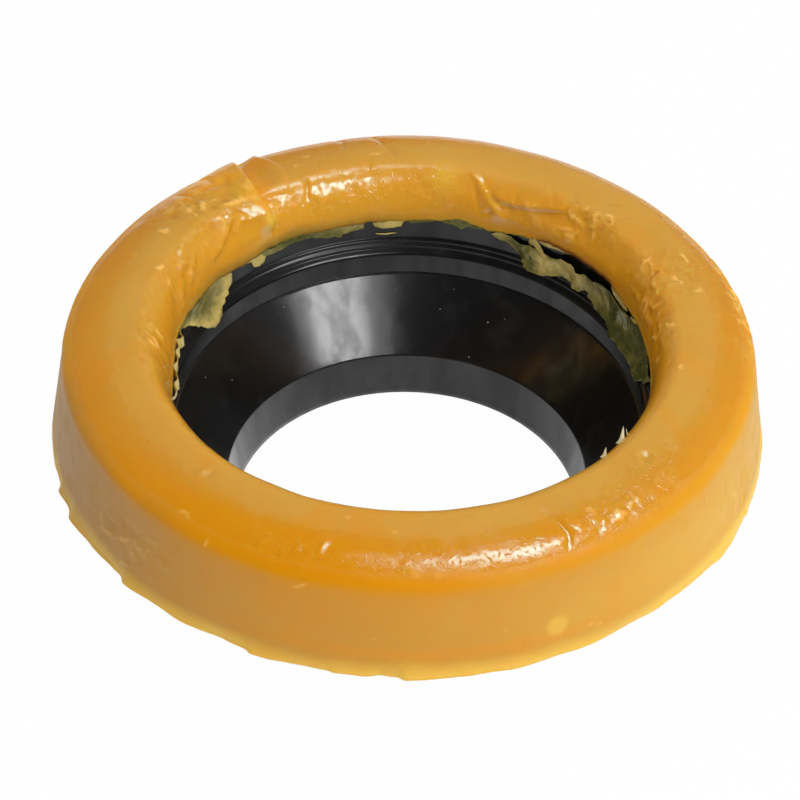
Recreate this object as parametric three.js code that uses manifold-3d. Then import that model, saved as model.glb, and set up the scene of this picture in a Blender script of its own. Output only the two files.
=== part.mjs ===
// Toilet pan seal: a moulded petroleum wax ring with a plastic horn cast into its bore.
// Millimetres, +Z up. The origin is the centre of the horn's outlet rim, which the seal stands on.
// The wax keeps what handling has done to it: folds, creases, a ragged lower edge and torn film at its lip.

import * as THREE from "three";
import { mergeVertices } from "three/addons/utils/BufferGeometryUtils.js";
import Module from "manifold-3d";

// Horn: heights are measured up or down from the wax's underside
const OUTLET_RADIUS = 34.6;
const OUTLET_LENGTH = 9.5;
const THROAT_RADIUS = 35.85;
const CONE_LENGTH = 14.0;
const BAND_RADIUS = 46.05;
const BAND_HEIGHT = 4.55;
const COLLAR_RADIUS = 48.0;
const COLLAR_FOOT = 7.9;
const FLANGE_RADIUS = 57.0;
const FLANGE_TOP = 14.5;
const FLANGE_THICKNESS = 1.7;
const HORN_WALL = 1.7;
const RIM_ROUNDING = 0.5;
const BAND_GROOVE = 0.25;

// Three moulded steps lead from the collar down to the band, each with a rounded nose
const STEP_COUNT = 3;
const STEP_NOSE = 0.35;

// Wax ring: heights are measured up from its underside
const RING_RADIUS = 69.85;
const RING_HEIGHT = 24.3;
const WALL_DRAFT = 2.86;
const SHOULDER_RISE = 5.85;
const CROWN_RADIUS = 52.7;
const FOOT_ROUNDING = 0.7;
const FOOT_LEDGE = 3.5;
const LIP_HEIGHT = 13.9;
const LAP_THICKNESS = 0.65;
const LAP_REST_DROP = 0.8;
const LIP_LEAN = 0.3;
const BOND_GAP = 0.3;

// The slit that torn film leaves behind it, below the lip on the far right
const SLIT = { from: 32, to: 55, height: 1.5, below: 0.25, reach: 2.4 };

// How finely the round forms are faceted
const WAX_FACETS = 168;
const HORN_FACETS = 60;
const WALL_ROWS = 5;
const SHOULDER_ROWS = 7;
const BORE_ROWS = 6;

// Film that laps down over the horn's collar: centre and half width in degrees, how much of the
// half width its ends take to rise, how far it hangs, how far its edge leans in towards the axis
const FILM = [
  { name: "left patch", at: 150, half: 15, ends: 0.9, drop: 9.6, lean: 2.3 },
  { name: "left tab", at: 130.5, half: 4, ends: 0.8, drop: 4.8, lean: 0.9 },
  { name: "far strip", at: 115, half: 15, ends: 0.35, drop: 3.2, lean: 0.5 },
  { name: "middle patch", at: 95.5, half: 5, ends: 0.5, drop: 3.4, lean: 0.5 },
  { name: "long strip, near end", at: 17, half: 14, ends: 0.5, drop: 9.4, lean: 2.3 },
  { name: "long strip, middle", at: 34, half: 12, ends: 0.7, drop: 8.0, lean: 2.1 },
  { name: "long strip, saddle", at: 46, half: 14, ends: 0.5, drop: 6.4, lean: 1.9 },
  { name: "long strip, far end", at: 57, half: 9, ends: 0.8, drop: 8.0, lean: 2.1 },
  { name: "left fringe", at: 180, half: 15, ends: 0.35, drop: 1.8, lean: 1.7 },
];

// Folds and creases run between two places on the skin. A place is an angle in degrees
// and a station: 0 to 1 up the wall, 1 to 2 over the shoulder, 2 to 3 down into the bore.
const FOLDS = [
  { name: "pressed fold", from: [125, 1.35], to: [128.5, 2.6], rise: 0.95, lead: 1.4, trail: 7 },
  { name: "fold shadow", from: [121, 1.3], to: [123, 2.3], rise: -0.45, lead: 2.6, trail: 2.6 },
  { name: "crown groove", from: [116, 1.7], to: [115, 2.6], rise: -0.4, lead: 1.8, trail: 1.8 },
  { name: "far notch", from: [96.5, 1.3], to: [99, 2.0], rise: -0.55, lead: 1.6, trail: 2.6 },
  { name: "flap edge", from: [79, 2.1], to: [68, 2.6], rise: 0.5, lead: 1.8, trail: 5 },
  { name: "flap end", from: [68, 2.6], to: [54, 2.35], rise: 0.45, lead: 2.5, trail: 3.5 },
  { name: "left lap", from: [134.5, 2.25], to: [147, 2.8], rise: 0.4, lead: 2, trail: 5 },
  { name: "left lower lap", from: [152, 2.2], to: [161, 2.75], rise: 0.4, lead: 2, trail: 4 },
  { name: "right brush mark", from: [28, 1.8], to: [21, 2.35], rise: 0.3, lead: 2, trail: 2.5 },
  { name: "near crease", from: [-66, 1.95], to: [-62, 1.35], rise: -0.45, lead: 1.7, trail: 1.7 },
  { name: "near press mark", from: [-92, 1.9], to: [-85, 1.75], rise: -0.25, lead: 2.2, trail: 2.2 },
  { name: "wall crease", from: [-22, 0.7], to: [-24, 0.2], rise: -0.3, lead: 1.8, trail: 1.8 },
];

// Broad dents and swellings: place, half width in degrees and in stations, rise
const SWELLS = [
  { at: [146, 2.0], half: [16, 0.7], rise: 0.5 },
  { at: [159, 2.6], half: [12, 0.5], rise: -0.45 },
  { at: [127.5, 2.55], half: [4, 0.3], rise: 0.5 },
  { at: [108, 1.6], half: [10, 0.5], rise: -0.35 },
  { at: [42, 2.3], half: [18, 0.5], rise: -0.5 },
  { at: [20, 2.2], half: [10, 0.5], rise: 0.45 },
  { at: [-25, 1.1], half: [16, 0.5], rise: -0.35 },
  { at: [-39, 1.83], half: [4, 0.22], rise: -0.45 },
  { at: [-60, 1.45], half: [12, 0.3], rise: 0.35 },
  { at: [-105, 1.5], half: [14, 0.4], rise: 0.3 },
  { at: [-140, 0.6], half: [18, 0.5], rise: -0.4 },
  { at: [-158, 1.6], half: [15, 0.6], rise: 0.3 },
];

// Moulding flash squeezed out at the foot: centre, half width in degrees, how far it stands out
const FLASH = [
  { at: -160, half: 3.6, out: 1.1 },
  { at: -154, half: 3.8, out: 1.0 },
  { at: -137.5, half: 4, out: 0.95 },
  { at: -126.5, half: 5, out: 0.5 },
  { at: -119.5, half: 4, out: -0.35 },
  { at: -111.5, half: 6, out: 0.8 },
  { at: -98, half: 5, out: 0.55 },
  { at: -87, half: 5, out: 0.95 },
  { at: -80.5, half: 6, out: 0.5 },
  { at: -73, half: 6, out: 0.35 },
  { at: -53, half: 9, out: -0.7 },
  { at: -43, half: 7, out: -0.35 },
  { at: -31, half: 7, out: 0.5 },
  { at: 35, half: 8, out: 0.3 },
  { at: 140, half: 6, out: 0.35 },
];

// A slow unevenness all over the skin, as hands leave it: waves round the ring and along the section
const WAVES = [
  { round: 3, along: 1.1, phase: 0.6, rise: 0.16 },
  { round: 5, along: -2.3, phase: 2.1, rise: 0.12 },
  { round: 9, along: 3.1, phase: 4.0, rise: 0.09 },
  { round: 17, along: -4.4, phase: 1.3, rise: 0.06 },
];

const WAX_COLOUR = 0xd6963a;
const HORN_COLOUR = 0x141414;

const RADIANS = Math.PI / 180;
const UNDERSIDE = CONE_LENGTH + OUTLET_LENGTH;

// Angle from one direction to another, between -180 and 180 degrees
function turn(from, to) {
  return ((to - from + 540) % 360) - 180;
}

// A smooth hump: 1 at the middle, 0 at a distance of 1 and beyond
function hump(distance) {
  const d = Math.min(1, Math.abs(distance));
  return (1 - d * d) ** 2;
}

// The same with a flat top, for film that hangs evenly between its two sloping ends
function plateau(distance, ends) {
  return THREE.MathUtils.smoothstep(1 - Math.abs(distance), 0, ends);
}

// Points of an elliptical quarter, from one angle to another about a centre
function ellipse(centre, radii, fromDegrees, toDegrees, rows) {
  return Array.from({ length: rows + 1 }, (_, i) => {
    const a = THREE.MathUtils.lerp(fromDegrees, toDegrees, i / rows) * RADIANS;
    return new THREE.Vector2(centre.x + radii.x * Math.cos(a), centre.y + radii.y * Math.sin(a));
  });
}

// A closed section turned round the Z axis
function revolve(section, facets) {
  const geometry = new THREE.LatheGeometry([...section, section[0]], facets);
  geometry.rotateX(Math.PI / 2);
  return geometry;
}

// A bare closed mesh, with each corner held once
function weld(geometry) {
  const bare = geometry.clone();
  bare.deleteAttribute("normal");
  bare.deleteAttribute("uv");
  return mergeVertices(bare, 1e-4);
}

// Horn

// The bore of the horn, from the collar's mouth down to the outlet
function hornBore() {
  const points = [new THREE.Vector2(COLLAR_RADIUS, FLANGE_TOP), new THREE.Vector2(COLLAR_RADIUS, COLLAR_FOOT)];
  const width = (COLLAR_RADIUS - BAND_RADIUS) / STEP_COUNT;
  const depth = (COLLAR_FOOT - BAND_HEIGHT) / STEP_COUNT;
  for (let i = 0; i < STEP_COUNT; i++) {
    const r = COLLAR_RADIUS - width * (i + 1);
    const z = COLLAR_FOOT - depth * i;
    points.push(new THREE.Vector2(r + STEP_NOSE, z - 0.25 * depth));
    points.push(new THREE.Vector2(r, z - 0.25 * depth - STEP_NOSE));
    points.push(new THREE.Vector2(r, z - depth));
  }
  points.push(new THREE.Vector2(BAND_RADIUS, BAND_GROOVE));
  points.push(new THREE.Vector2(BAND_RADIUS + BAND_GROOVE, 0));
  points.push(new THREE.Vector2(BAND_RADIUS - BAND_GROOVE, -BAND_GROOVE));
  points.push(new THREE.Vector2(THROAT_RADIUS, -CONE_LENGTH));
  points.push(new THREE.Vector2(OUTLET_RADIUS, RIM_ROUNDING - UNDERSIDE));
  return points;
}

// The outside of the horn, from the outlet rim back up to the flange
function hornOutside() {
  const flangeFoot = FLANGE_TOP - FLANGE_THICKNESS;
  return [
    new THREE.Vector2(OUTLET_RADIUS + RIM_ROUNDING, -UNDERSIDE),
    new THREE.Vector2(OUTLET_RADIUS + HORN_WALL - RIM_ROUNDING / 2, -UNDERSIDE),
    new THREE.Vector2(OUTLET_RADIUS + HORN_WALL, RIM_ROUNDING - UNDERSIDE),
    new THREE.Vector2(THROAT_RADIUS + HORN_WALL, -CONE_LENGTH - HORN_WALL / 2),
    new THREE.Vector2(BAND_RADIUS + HORN_WALL, -HORN_WALL / 2),
    new THREE.Vector2(BAND_RADIUS + HORN_WALL, BAND_HEIGHT - HORN_WALL),
    new THREE.Vector2(COLLAR_RADIUS + HORN_WALL, COLLAR_FOOT - HORN_WALL),
    new THREE.Vector2(COLLAR_RADIUS + HORN_WALL, flangeFoot),
    new THREE.Vector2(FLANGE_RADIUS, flangeFoot),
    new THREE.Vector2(FLANGE_RADIUS, FLANGE_TOP),
  ];
}

function makeHorn() {
  const section = [...hornOutside(), ...hornBore()].map((p) => p.setY(p.y + UNDERSIDE));
  return revolve(section, HORN_FACETS);
}

// Wax ring

// The seen skin as stations, each with its place in the section and the direction it faces
function skinStations() {
  const wallTop = RING_HEIGHT - SHOULDER_RISE;
  const shoulderRun = RING_RADIUS - WALL_DRAFT - CROWN_RADIUS;
  const lipRadius = COLLAR_RADIUS - BOND_GAP - LAP_THICKNESS;
  const boreRun = CROWN_RADIUS - lipRadius;
  const boreRise = RING_HEIGHT - LIP_HEIGHT;
  const stations = [];
  const wall = new THREE.Vector2(wallTop, WALL_DRAFT).normalize();
  for (let i = 0; i <= WALL_ROWS; i++) {
    const share = i / WALL_ROWS;
    const z = THREE.MathUtils.lerp(FOOT_ROUNDING, wallTop, share);
    stations.push({ t: share, at: new THREE.Vector2(RING_RADIUS - WALL_DRAFT * (z / wallTop), z), facing: wall });
  }
  const shoulder = ellipse({ x: CROWN_RADIUS, y: wallTop }, { x: shoulderRun, y: SHOULDER_RISE }, 0, 90, SHOULDER_ROWS);
  shoulder.slice(1).forEach((at, i) => {
    const facing = new THREE.Vector2((at.x - CROWN_RADIUS) / shoulderRun ** 2, (at.y - wallTop) / SHOULDER_RISE ** 2);
    stations.push({ t: 1 + (i + 1) / SHOULDER_ROWS, at, facing: facing.normalize() });
  });
  const bore = ellipse({ x: CROWN_RADIUS, y: LIP_HEIGHT }, { x: boreRun, y: boreRise }, 90, 180, BORE_ROWS);
  bore.slice(1).forEach((at, i) => {
    const facing = new THREE.Vector2((at.x - CROWN_RADIUS) / boreRun ** 2, (at.y - LIP_HEIGHT) / boreRise ** 2);
    stations.push({ t: 2 + (i + 1) / BORE_ROWS, at, facing: facing.normalize() });
  });
  return stations;
}

// How far the skin stands out from its moulded form at an angle and a station
function relief(angle, t) {
  let rise = 0;
  for (const wave of WAVES) {
    rise += wave.rise * Math.sin(wave.round * angle * RADIANS + wave.along * t + wave.phase);
  }
  for (const swell of SWELLS) {
    const across = turn(swell.at[0], angle) / swell.half[0];
    rise += swell.rise * hump(Math.hypot(across, (t - swell.at[1]) / swell.half[1]));
  }
  for (const fold of FOLDS) {
    const share = (t - fold.from[1]) / (fold.to[1] - fold.from[1]);
    const line = fold.from[0] + (fold.to[0] - fold.from[0]) * THREE.MathUtils.clamp(share, 0, 1);
    const across = turn(line, angle);
    const side = across > 0 ? fold.trail : fold.lead;
    rise += fold.rise * hump(across / side) * hump(Math.max(0, Math.abs(share - 0.5) - 0.4) / 0.35);
  }
  return rise * (1 - THREE.MathUtils.smoothstep(t, 2.6, 3));
}

// How far flash stands out at the foot
function flash(angle) {
  return FLASH.reduce((out, lump) => out + lump.out * hump(turn(lump.at, angle) / lump.half), 0);
}

// How far the film at the lip hangs and leans at an angle
function film(angle) {
  const hang = { drop: LAP_REST_DROP, lean: 0 };
  for (const patch of FILM) {
    const share = plateau(turn(patch.at, angle) / patch.half, patch.ends);
    hang.drop = Math.max(hang.drop, patch.drop * share);
    hang.lean = Math.max(hang.lean, patch.lean * share);
  }
  return hang;
}

// The hidden side of the section: the lip's lap over the collar, the seat of the flange, the underside
function seatPoints() {
  const back = COLLAR_RADIUS - BOND_GAP;
  const collar = COLLAR_RADIUS + HORN_WALL + BOND_GAP;
  const band = BAND_RADIUS + HORN_WALL + BOND_GAP;
  const rim = FLANGE_RADIUS + BOND_GAP;
  const roof = FLANGE_TOP + BOND_GAP;
  const sill = FLANGE_TOP - FLANGE_THICKNESS - BOND_GAP;
  return [
    new THREE.Vector2(back, roof),
    new THREE.Vector2(rim, roof),
    new THREE.Vector2(rim, sill),
    new THREE.Vector2(collar, sill),
    new THREE.Vector2(collar, COLLAR_FOOT - HORN_WALL - BOND_GAP / 2),
    new THREE.Vector2(band, BAND_HEIGHT - HORN_WALL - BOND_GAP / 2),
    new THREE.Vector2(band, 0),
    new THREE.Vector2(RING_RADIUS - FOOT_LEDGE, 0),
  ];
}

function makeWaxRing() {
  const stations = skinStations();
  const lip = stations[stations.length - 1].at;
  const back = COLLAR_RADIUS - BOND_GAP;
  const section = [
    new THREE.Vector2(RING_RADIUS - FOOT_ROUNDING, 0),
    ...stations.map((station) => station.at.clone()),
    new THREE.Vector2(lip.x, lip.y),
    new THREE.Vector2(back, lip.y),
    ...seatPoints(),
  ];
  const foot = 0;
  const firstStation = 1;
  const filmFront = firstStation + stations.length;
  const filmBack = filmFront + 1;
  const geometry = revolve(section, WAX_FACETS);
  const position = geometry.attributes.position;
  const rows = section.length + 1;
  for (let i = 0; i < position.count; i++) {
    const row = (i % rows) % section.length;
    const radius = Math.hypot(position.getX(i), position.getY(i));
    const angle = Math.round(Math.atan2(position.getY(i), position.getX(i)) / RADIANS * 1e6) / 1e6;
    let r = radius;
    let z = position.getZ(i);
    if (row === foot) {
      r += flash(angle);
    } else if (row < filmFront) {
      const station = stations[row - firstStation];
      const out = relief(angle, station.t) + flash(angle) * hump(station.t / 0.3);
      const lean = film(angle).lean * THREE.MathUtils.smoothstep(station.t, 2.4, 3);
      r += out * station.facing.x - LIP_LEAN * lean;
      z += out * station.facing.y;
    } else if (row === filmFront || row === filmBack) {
      const hang = film(angle);
      r -= hang.lean;
      z -= hang.drop;
    }
    position.setXYZ(i, r * Math.cos(angle * RADIANS), r * Math.sin(angle * RADIANS), z + UNDERSIDE);
  }
  return geometry;
}

// The slit between the torn film and the lip: a flat arc that passes right through the film
function makeSlit() {
  const inner = COLLAR_RADIUS - BOND_GAP - SLIT.reach;
  const outer = COLLAR_RADIUS + BOND_GAP;
  const shape = new THREE.Shape();
  shape.absarc(0, 0, outer, SLIT.from * RADIANS, SLIT.to * RADIANS, false);
  shape.absarc(0, 0, inner, SLIT.to * RADIANS, SLIT.from * RADIANS, true);
  shape.closePath();
  const slit = new THREE.ExtrudeGeometry(shape, { depth: SLIT.height, bevelEnabled: false, curveSegments: 8 });
  slit.translate(0, 0, UNDERSIDE + LIP_HEIGHT - SLIT.below - SLIT.height);
  return slit;
}

const wasm = await Module();
wasm.setup();

function solid(geometry) {
  const welded = weld(geometry);
  const mesh = new wasm.Mesh({
    numProp: 3,
    vertProperties: new Float32Array(welded.attributes.position.array),
    triVerts: new Uint32Array(welded.index.array),
  });
  return new wasm.Manifold(mesh);
}

function geometryOf(body) {
  const mesh = body.getMesh();
  const geometry = new THREE.BufferGeometry();
  geometry.setAttribute("position", new THREE.BufferAttribute(new Float32Array(mesh.vertProperties), 3));
  geometry.setIndex(new THREE.BufferAttribute(new Uint32Array(mesh.triVerts), 1));
  geometry.computeVertexNormals();
  return geometry;
}

function piece(name, geometry, look) {
  const mesh = new THREE.Mesh(geometry, new THREE.MeshStandardMaterial(look));
  mesh.name = name;
  return mesh;
}

const seal = new THREE.Group();
seal.name = "toilet_pan_seal";
const wax = solid(makeWaxRing()).subtract(solid(makeSlit()));
seal.add(piece("wax_ring", geometryOf(wax), { color: WAX_COLOUR, roughness: 0.42, metalness: 0 }));
seal.add(piece("horn", makeHorn(), { color: HORN_COLOUR, roughness: 0.25, metalness: 0 }));

export default seal;
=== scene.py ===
"""Looks of a toilet pan seal: a moulded amber wax ring with a black plastic horn cast into its bore.

Sizes are in millimetres, as the seal is drawn, and become metres where a mesh is made. Angles are in
degrees round the ring: 0 is +X, and -90 is the side that faces the camera. "Along" is the distance in
millimetres over the wax's skin, from its foot up the wall, over the shoulder and down into the bore.
"""

import logging
import math
from dataclasses import dataclass, field
from enum import Enum

import bpy
import numpy as np
from mathutils import Matrix, Vector

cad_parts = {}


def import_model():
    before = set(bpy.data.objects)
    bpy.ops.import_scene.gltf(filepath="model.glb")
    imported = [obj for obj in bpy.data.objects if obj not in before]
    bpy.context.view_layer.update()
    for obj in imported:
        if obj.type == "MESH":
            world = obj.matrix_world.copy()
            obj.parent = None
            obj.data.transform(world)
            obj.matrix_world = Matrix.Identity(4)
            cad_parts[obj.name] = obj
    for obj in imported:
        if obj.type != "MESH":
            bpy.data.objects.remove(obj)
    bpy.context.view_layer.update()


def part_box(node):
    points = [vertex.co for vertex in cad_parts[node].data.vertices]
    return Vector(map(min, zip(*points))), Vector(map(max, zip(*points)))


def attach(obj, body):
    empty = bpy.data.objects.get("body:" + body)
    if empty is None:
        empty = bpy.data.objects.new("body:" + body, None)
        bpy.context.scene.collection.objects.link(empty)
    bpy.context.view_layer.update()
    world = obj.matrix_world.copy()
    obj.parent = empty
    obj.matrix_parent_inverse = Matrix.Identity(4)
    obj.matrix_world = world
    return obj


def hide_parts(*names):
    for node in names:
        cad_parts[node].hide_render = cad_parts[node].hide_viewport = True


LOG = logging.getLogger("pan_seal")
MM = 0.001

# Mean radius in mm of the film on the horn's collar, which sets how fine its grain is
COLLAR = 47.0
# How many degrees round the ring a millimetre takes near its bore
DEGREES_PER_MM = 1.15

Places = list[tuple[float, float]]
Triple = tuple[float, float, float]


class Shape(Enum):
    """How a fold's flanks fall away from its path: the power of the distance in its bell."""

    SOFT = 2.0
    SHARP = 1.0


# Arrays


def ease(value: np.ndarray, low: float, high: float) -> np.ndarray:
    """Smooth step: 0 below low, 1 above high, and 3x^2 - 2x^3 of the share between them.

    Args:
        value: any array.
        low: where the step starts.
        high: where it ends; it may be below low, and then the step falls.

    Returns:
        An array of the same shape, from 0 to 1.
    """
    share = np.clip((value - low) / (high - low), 0, 1)
    return share * share * (3 - 2 * share)


def turn(angle: np.ndarray | float, centre: float) -> np.ndarray | float:
    """Signed angle in degrees from centre to angle, between -180 and 180."""
    return (angle - centre + 180) % 360 - 180


def bell(distance: np.ndarray) -> np.ndarray:
    """A smooth bump: exp(-x^2), 1 at the middle and nearly 0 at two widths."""
    return np.exp(-distance * distance)


def lattice_noise(across: np.ndarray, along: np.ndarray, round_cells: int, seed: int) -> np.ndarray:
    """Random heights on a square lattice, eased between its knots.

    The four knots round a place are mixed by the smooth step of its share of the cell. The lattice
    closes on itself across, so that the pattern has no seam round the ring.

    Args:
        across: place round the ring, in cells.
        along: place along the skin, in cells.
        round_cells: how many cells go round the ring.
        seed: of the random heights.

    Returns:
        Heights from -1 to 1, in the shape of across and along together.
    """
    across, along = np.broadcast_arrays(across, along)
    low_along = np.floor(along)
    first = int(low_along.min())
    knots = np.random.default_rng(seed).uniform(-1, 1, (round_cells, int(low_along.max()) - first + 2))
    column = np.floor(across).astype(int)
    row = (low_along - first).astype(int)
    share_across = ease(across - column, 0, 1)
    share_along = ease(along - low_along, 0, 1)
    here = column % round_cells
    there = (column + 1) % round_cells
    low = knots[here, row] * (1 - share_across) + knots[there, row] * share_across
    high = knots[here, row + 1] * (1 - share_across) + knots[there, row + 1] * share_across
    return low * (1 - share_along) + high * share_along


@dataclass(frozen=True)
class Grain:
    """Layers of noise over the ring, each half as coarse and half as high as the one before.

    A layer has a knot every pitch in mm round the ring, and every pitch times the stretch along it. The
    slant shears it. Creased layers stand up in sharp folds where their noise n crosses zero, as
    1 - steep |n|.
    """

    pitch: float
    rise: float
    seed: int
    octaves: int = 3
    stretch: float = 1.0
    slant: float = 0.0
    mean_radius: float = 57.0
    creased: bool = False
    steep: float = 3.0

    def height(self, angle: np.ndarray, along: np.ndarray) -> np.ndarray:
        """Height in mm at each place: the sum of the layers.

        Args:
            angle: degrees round the ring.
            along: mm over the skin.

        Returns:
            Heights in the shape of angle and along together.
        """
        total = np.zeros(np.broadcast(angle, along).shape)
        pitch, rise = self.pitch, self.rise
        for octave in range(self.octaves):
            cells = max(3, round(2 * math.pi * self.mean_radius / pitch))
            across = (angle % 360) / 360 * cells + self.slant * along / pitch
            layer = lattice_noise(across, along / (pitch * self.stretch), cells, self.seed + octave)
            total += rise * (1 - self.steep * np.abs(layer) if self.creased else layer)
            pitch, rise = pitch / 2, rise / 2
        return total


@dataclass(frozen=True)
class Window:
    """A soft-edged patch of the skin, 1 in its middle and 0 outside."""

    angle: float
    along: float
    half_angle: float
    half_along: float

    def share(self, angle: np.ndarray, along: np.ndarray) -> np.ndarray:
        """How much of the patch is at each place: the bell of its distance in half widths.

        Args:
            angle: degrees round the ring.
            along: mm over the skin.

        Returns:
            Shares from 0 to 1, in the shape of angle and along together.
        """
        across = turn(angle, self.angle) / self.half_angle
        return bell(np.hypot(across, (along - self.along) / self.half_along))


Patches = list[tuple[Window, float]]


def patched(patches: Patches, angle: np.ndarray, along: np.ndarray) -> np.ndarray:
    """Soft patches laid over one another: the sum of each one's share times its weight.

    Args:
        patches: each window and its weight.
        angle: degrees round the ring.
        along: mm over the skin.

    Returns:
        The sum, in the shape of angle and along together.
    """
    total = np.zeros(np.broadcast(angle, along).shape)
    for window, weight in patches:
        total += weight * window.share(angle, along)
    return total


@dataclass(frozen=True)
class Fold:
    """A ridge, groove or step in the wax that follows a path of (angle, along) places.

    Seen along the path, one flank lies to its left and one to its right. A place's height is the rise
    times exp(-x^p), where x is its distance to the path over the width of the flank that it lies on,
    and p is the shape's power. At the path's ends the rise falls to its end share, over the fade in mm.
    """

    path: Places
    rise: float
    left: float
    right: float
    shape: Shape = Shape.SOFT
    fade: float = 1.5
    end_share: float = 0.25

    def height(self, angle: np.ndarray, along: np.ndarray, radius: np.ndarray) -> np.ndarray:
        """Height in mm at each place.

        Args:
            angle: degrees round the ring, as a column.
            along: mm over the skin, as a row.
            radius: mm from the axis at each place along, as a row.

        Returns:
            Heights in the shape of angle and along together.
        """
        middle = self.path[len(self.path) // 2][0]
        arc = np.radians(turn(angle, middle)) * radius
        nearest = np.full(np.broadcast(angle, along).shape, 1e9)
        side = np.zeros(nearest.shape)
        travelled = np.zeros(nearest.shape)
        length = 0.0
        for (angle_a, along_a), (angle_b, along_b) in zip(self.path, self.path[1:]):
            mean_radius = float(np.interp((along_a + along_b) / 2, along[0], radius[0]))
            xa = math.radians(turn(angle_a, middle)) * mean_radius
            xb = math.radians(turn(angle_b, middle)) * mean_radius
            run = math.hypot(xb - xa, along_b - along_a)
            ux, uy = (xb - xa) / run, (along_b - along_a) / run
            dx, dy = arc - xa, along - along_a
            share = np.clip(dx * ux + dy * uy, 0, run)
            distance = np.hypot(dx - share * ux, dy - share * uy)
            closer = distance < nearest
            nearest = np.where(closer, distance, nearest)
            side = np.where(closer, ux * dy - uy * dx, side)
            travelled = np.where(closer, length + share, travelled)
            length += run
        width = np.where(side > 0, self.left, self.right)
        ends = ease(travelled, 0, self.fade) * ease(travelled, length, length - self.fade)
        rise = self.rise * (self.end_share + (1 - self.end_share) * ends)
        return rise * np.exp(-((nearest / width) ** self.shape.value))


@dataclass(frozen=True)
class Pock:
    """A small round mark: a pit or a pimple, with a rim thrown up round it."""

    angle: float
    along: float
    radius: float
    rise: float
    rim: float = 0.0

    def height(self, angle: np.ndarray, along: np.ndarray, radius: np.ndarray) -> np.ndarray:
        """Height in mm: the rise times a bell 0.8 radii wide, and the rim times one 1.1 radii out.

        Args:
            angle: degrees round the ring, as a column.
            along: mm over the skin, as a row.
            radius: mm from the axis at each place along, as a row.

        Returns:
            Heights in the shape of angle and along together.
        """
        arc = np.radians(turn(angle, self.angle)) * radius
        out = np.hypot(arc, along - self.along) / self.radius
        return self.rise * bell(out * 1.3) + self.rim * bell((out - 1.1) * 3.5)


@dataclass(frozen=True)
class Scuffs:
    """A patch of fine curled scratches and threads, drawn at random from a seed.

    Each is about as long as the reach, in mm. Half of them are ridges and half are grooves.
    """

    centre: tuple[float, float]
    spread: tuple[float, float]
    count: int
    rise: float
    seed: int
    reach: float = 2.6
    steps: int = 3
    width: float = 0.38

    def folds(self) -> list[Fold]:
        """Draws the patch's marks: each starts near its centre, and curls by the same angle at each step.

        Returns:
            A ridge or a groove by turns.
        """
        dice = np.random.default_rng(self.seed)
        marks = []
        for number in range(self.count):
            angle, along = np.array(self.centre) + dice.normal(0, 0.5, 2) * self.spread
            heading, curl = dice.uniform(0, 2 * math.pi), dice.normal(0, 0.8)
            path = [(float(angle), float(along))]
            for _ in range(self.steps):
                step = self.reach / self.steps * dice.uniform(0.6, 1.4)
                angle += step * math.cos(heading) * DEGREES_PER_MM
                along += step * math.sin(heading)
                heading += curl
                path.append((float(angle), float(along)))
            rise = self.rise * dice.uniform(0.5, 1.3) * (1 if number % 2 else -1)
            marks.append(Fold(path, rise, self.width, self.width, fade=0.8))
        return marks


# Meshes


def sheet_mesh(name: str, points: np.ndarray, close_rows: bool, close_angles: bool) -> bpy.types.Object:
    """Makes a smooth mesh from a grid of points, one quad for each cell of the grid.

    Args:
        name: of the object and its mesh.
        points: array (columns, rows, 3) in mm, whose quads face outwards in the order column, row.
        close_rows: joins the last row to the first.
        close_angles: joins the last column to the first.

    Returns:
        The new object, at the origin, with its place in its mesh, in metres.
    """
    columns, rows = points.shape[:2]
    column = np.arange(columns if close_angles else columns - 1)[:, None]
    row = np.arange(rows if close_rows else rows - 1)[None, :]
    next_column, next_row = (column + 1) % columns, (row + 1) % rows
    corners = np.stack(
        np.broadcast_arrays(
            column * rows + row,
            next_column * rows + row,
            next_column * rows + next_row,
            column * rows + next_row,
        ),
        axis=-1,
    ).reshape(-1, 4)
    return quad_mesh(name, points.reshape(-1, 3), corners)


def quad_mesh(name: str, points: np.ndarray, corners: np.ndarray) -> bpy.types.Object:
    """Puts points and quads into a new smooth-shaded object.

    Args:
        name: of the object and its mesh.
        points: array (n, 3) in mm.
        corners: array (m, 4) of point numbers.

    Returns:
        The new object.
    """
    mesh = bpy.data.meshes.new(name)
    mesh.vertices.add(len(points))
    mesh.vertices.foreach_set("co", (points * MM).astype(np.float32).ravel())
    mesh.loops.add(corners.size)
    mesh.loops.foreach_set("vertex_index", corners.astype(np.int32).ravel())
    mesh.polygons.add(len(corners))
    mesh.polygons.foreach_set("loop_start", np.arange(0, corners.size, 4, dtype=np.int32))
    mesh.polygons.foreach_set("use_smooth", np.ones(len(corners), bool))
    mesh.update(calc_edges=True)
    mesh.validate()
    made = bpy.data.objects.new(name, mesh)
    bpy.context.scene.collection.objects.link(made)
    return made


def paint(piece: bpy.types.Object, name: str, values: np.ndarray) -> None:
    """Stores one number for each point of a piece, for its material to read.

    Args:
        piece: with as many points as there are values.
        name: under which the material finds them.
        values: in the order of the points.
    """
    attribute = piece.data.attributes.new(name, "FLOAT", "POINT")
    attribute.data.foreach_set("value", values.astype(np.float32).ravel())


def turned(radius: np.ndarray, angle: np.ndarray, height: np.ndarray) -> np.ndarray:
    """Points from a radius, an angle and a height: (r cos a, r sin a, z).

    Args:
        radius: in mm.
        angle: in degrees.
        height: in mm.

    Returns:
        Array (..., 3) in mm, in the shape of the three together.
    """
    radians = np.radians(angle)
    return np.stack(np.broadcast_arrays(radius * np.cos(radians), radius * np.sin(radians), height), axis=-1)


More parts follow.
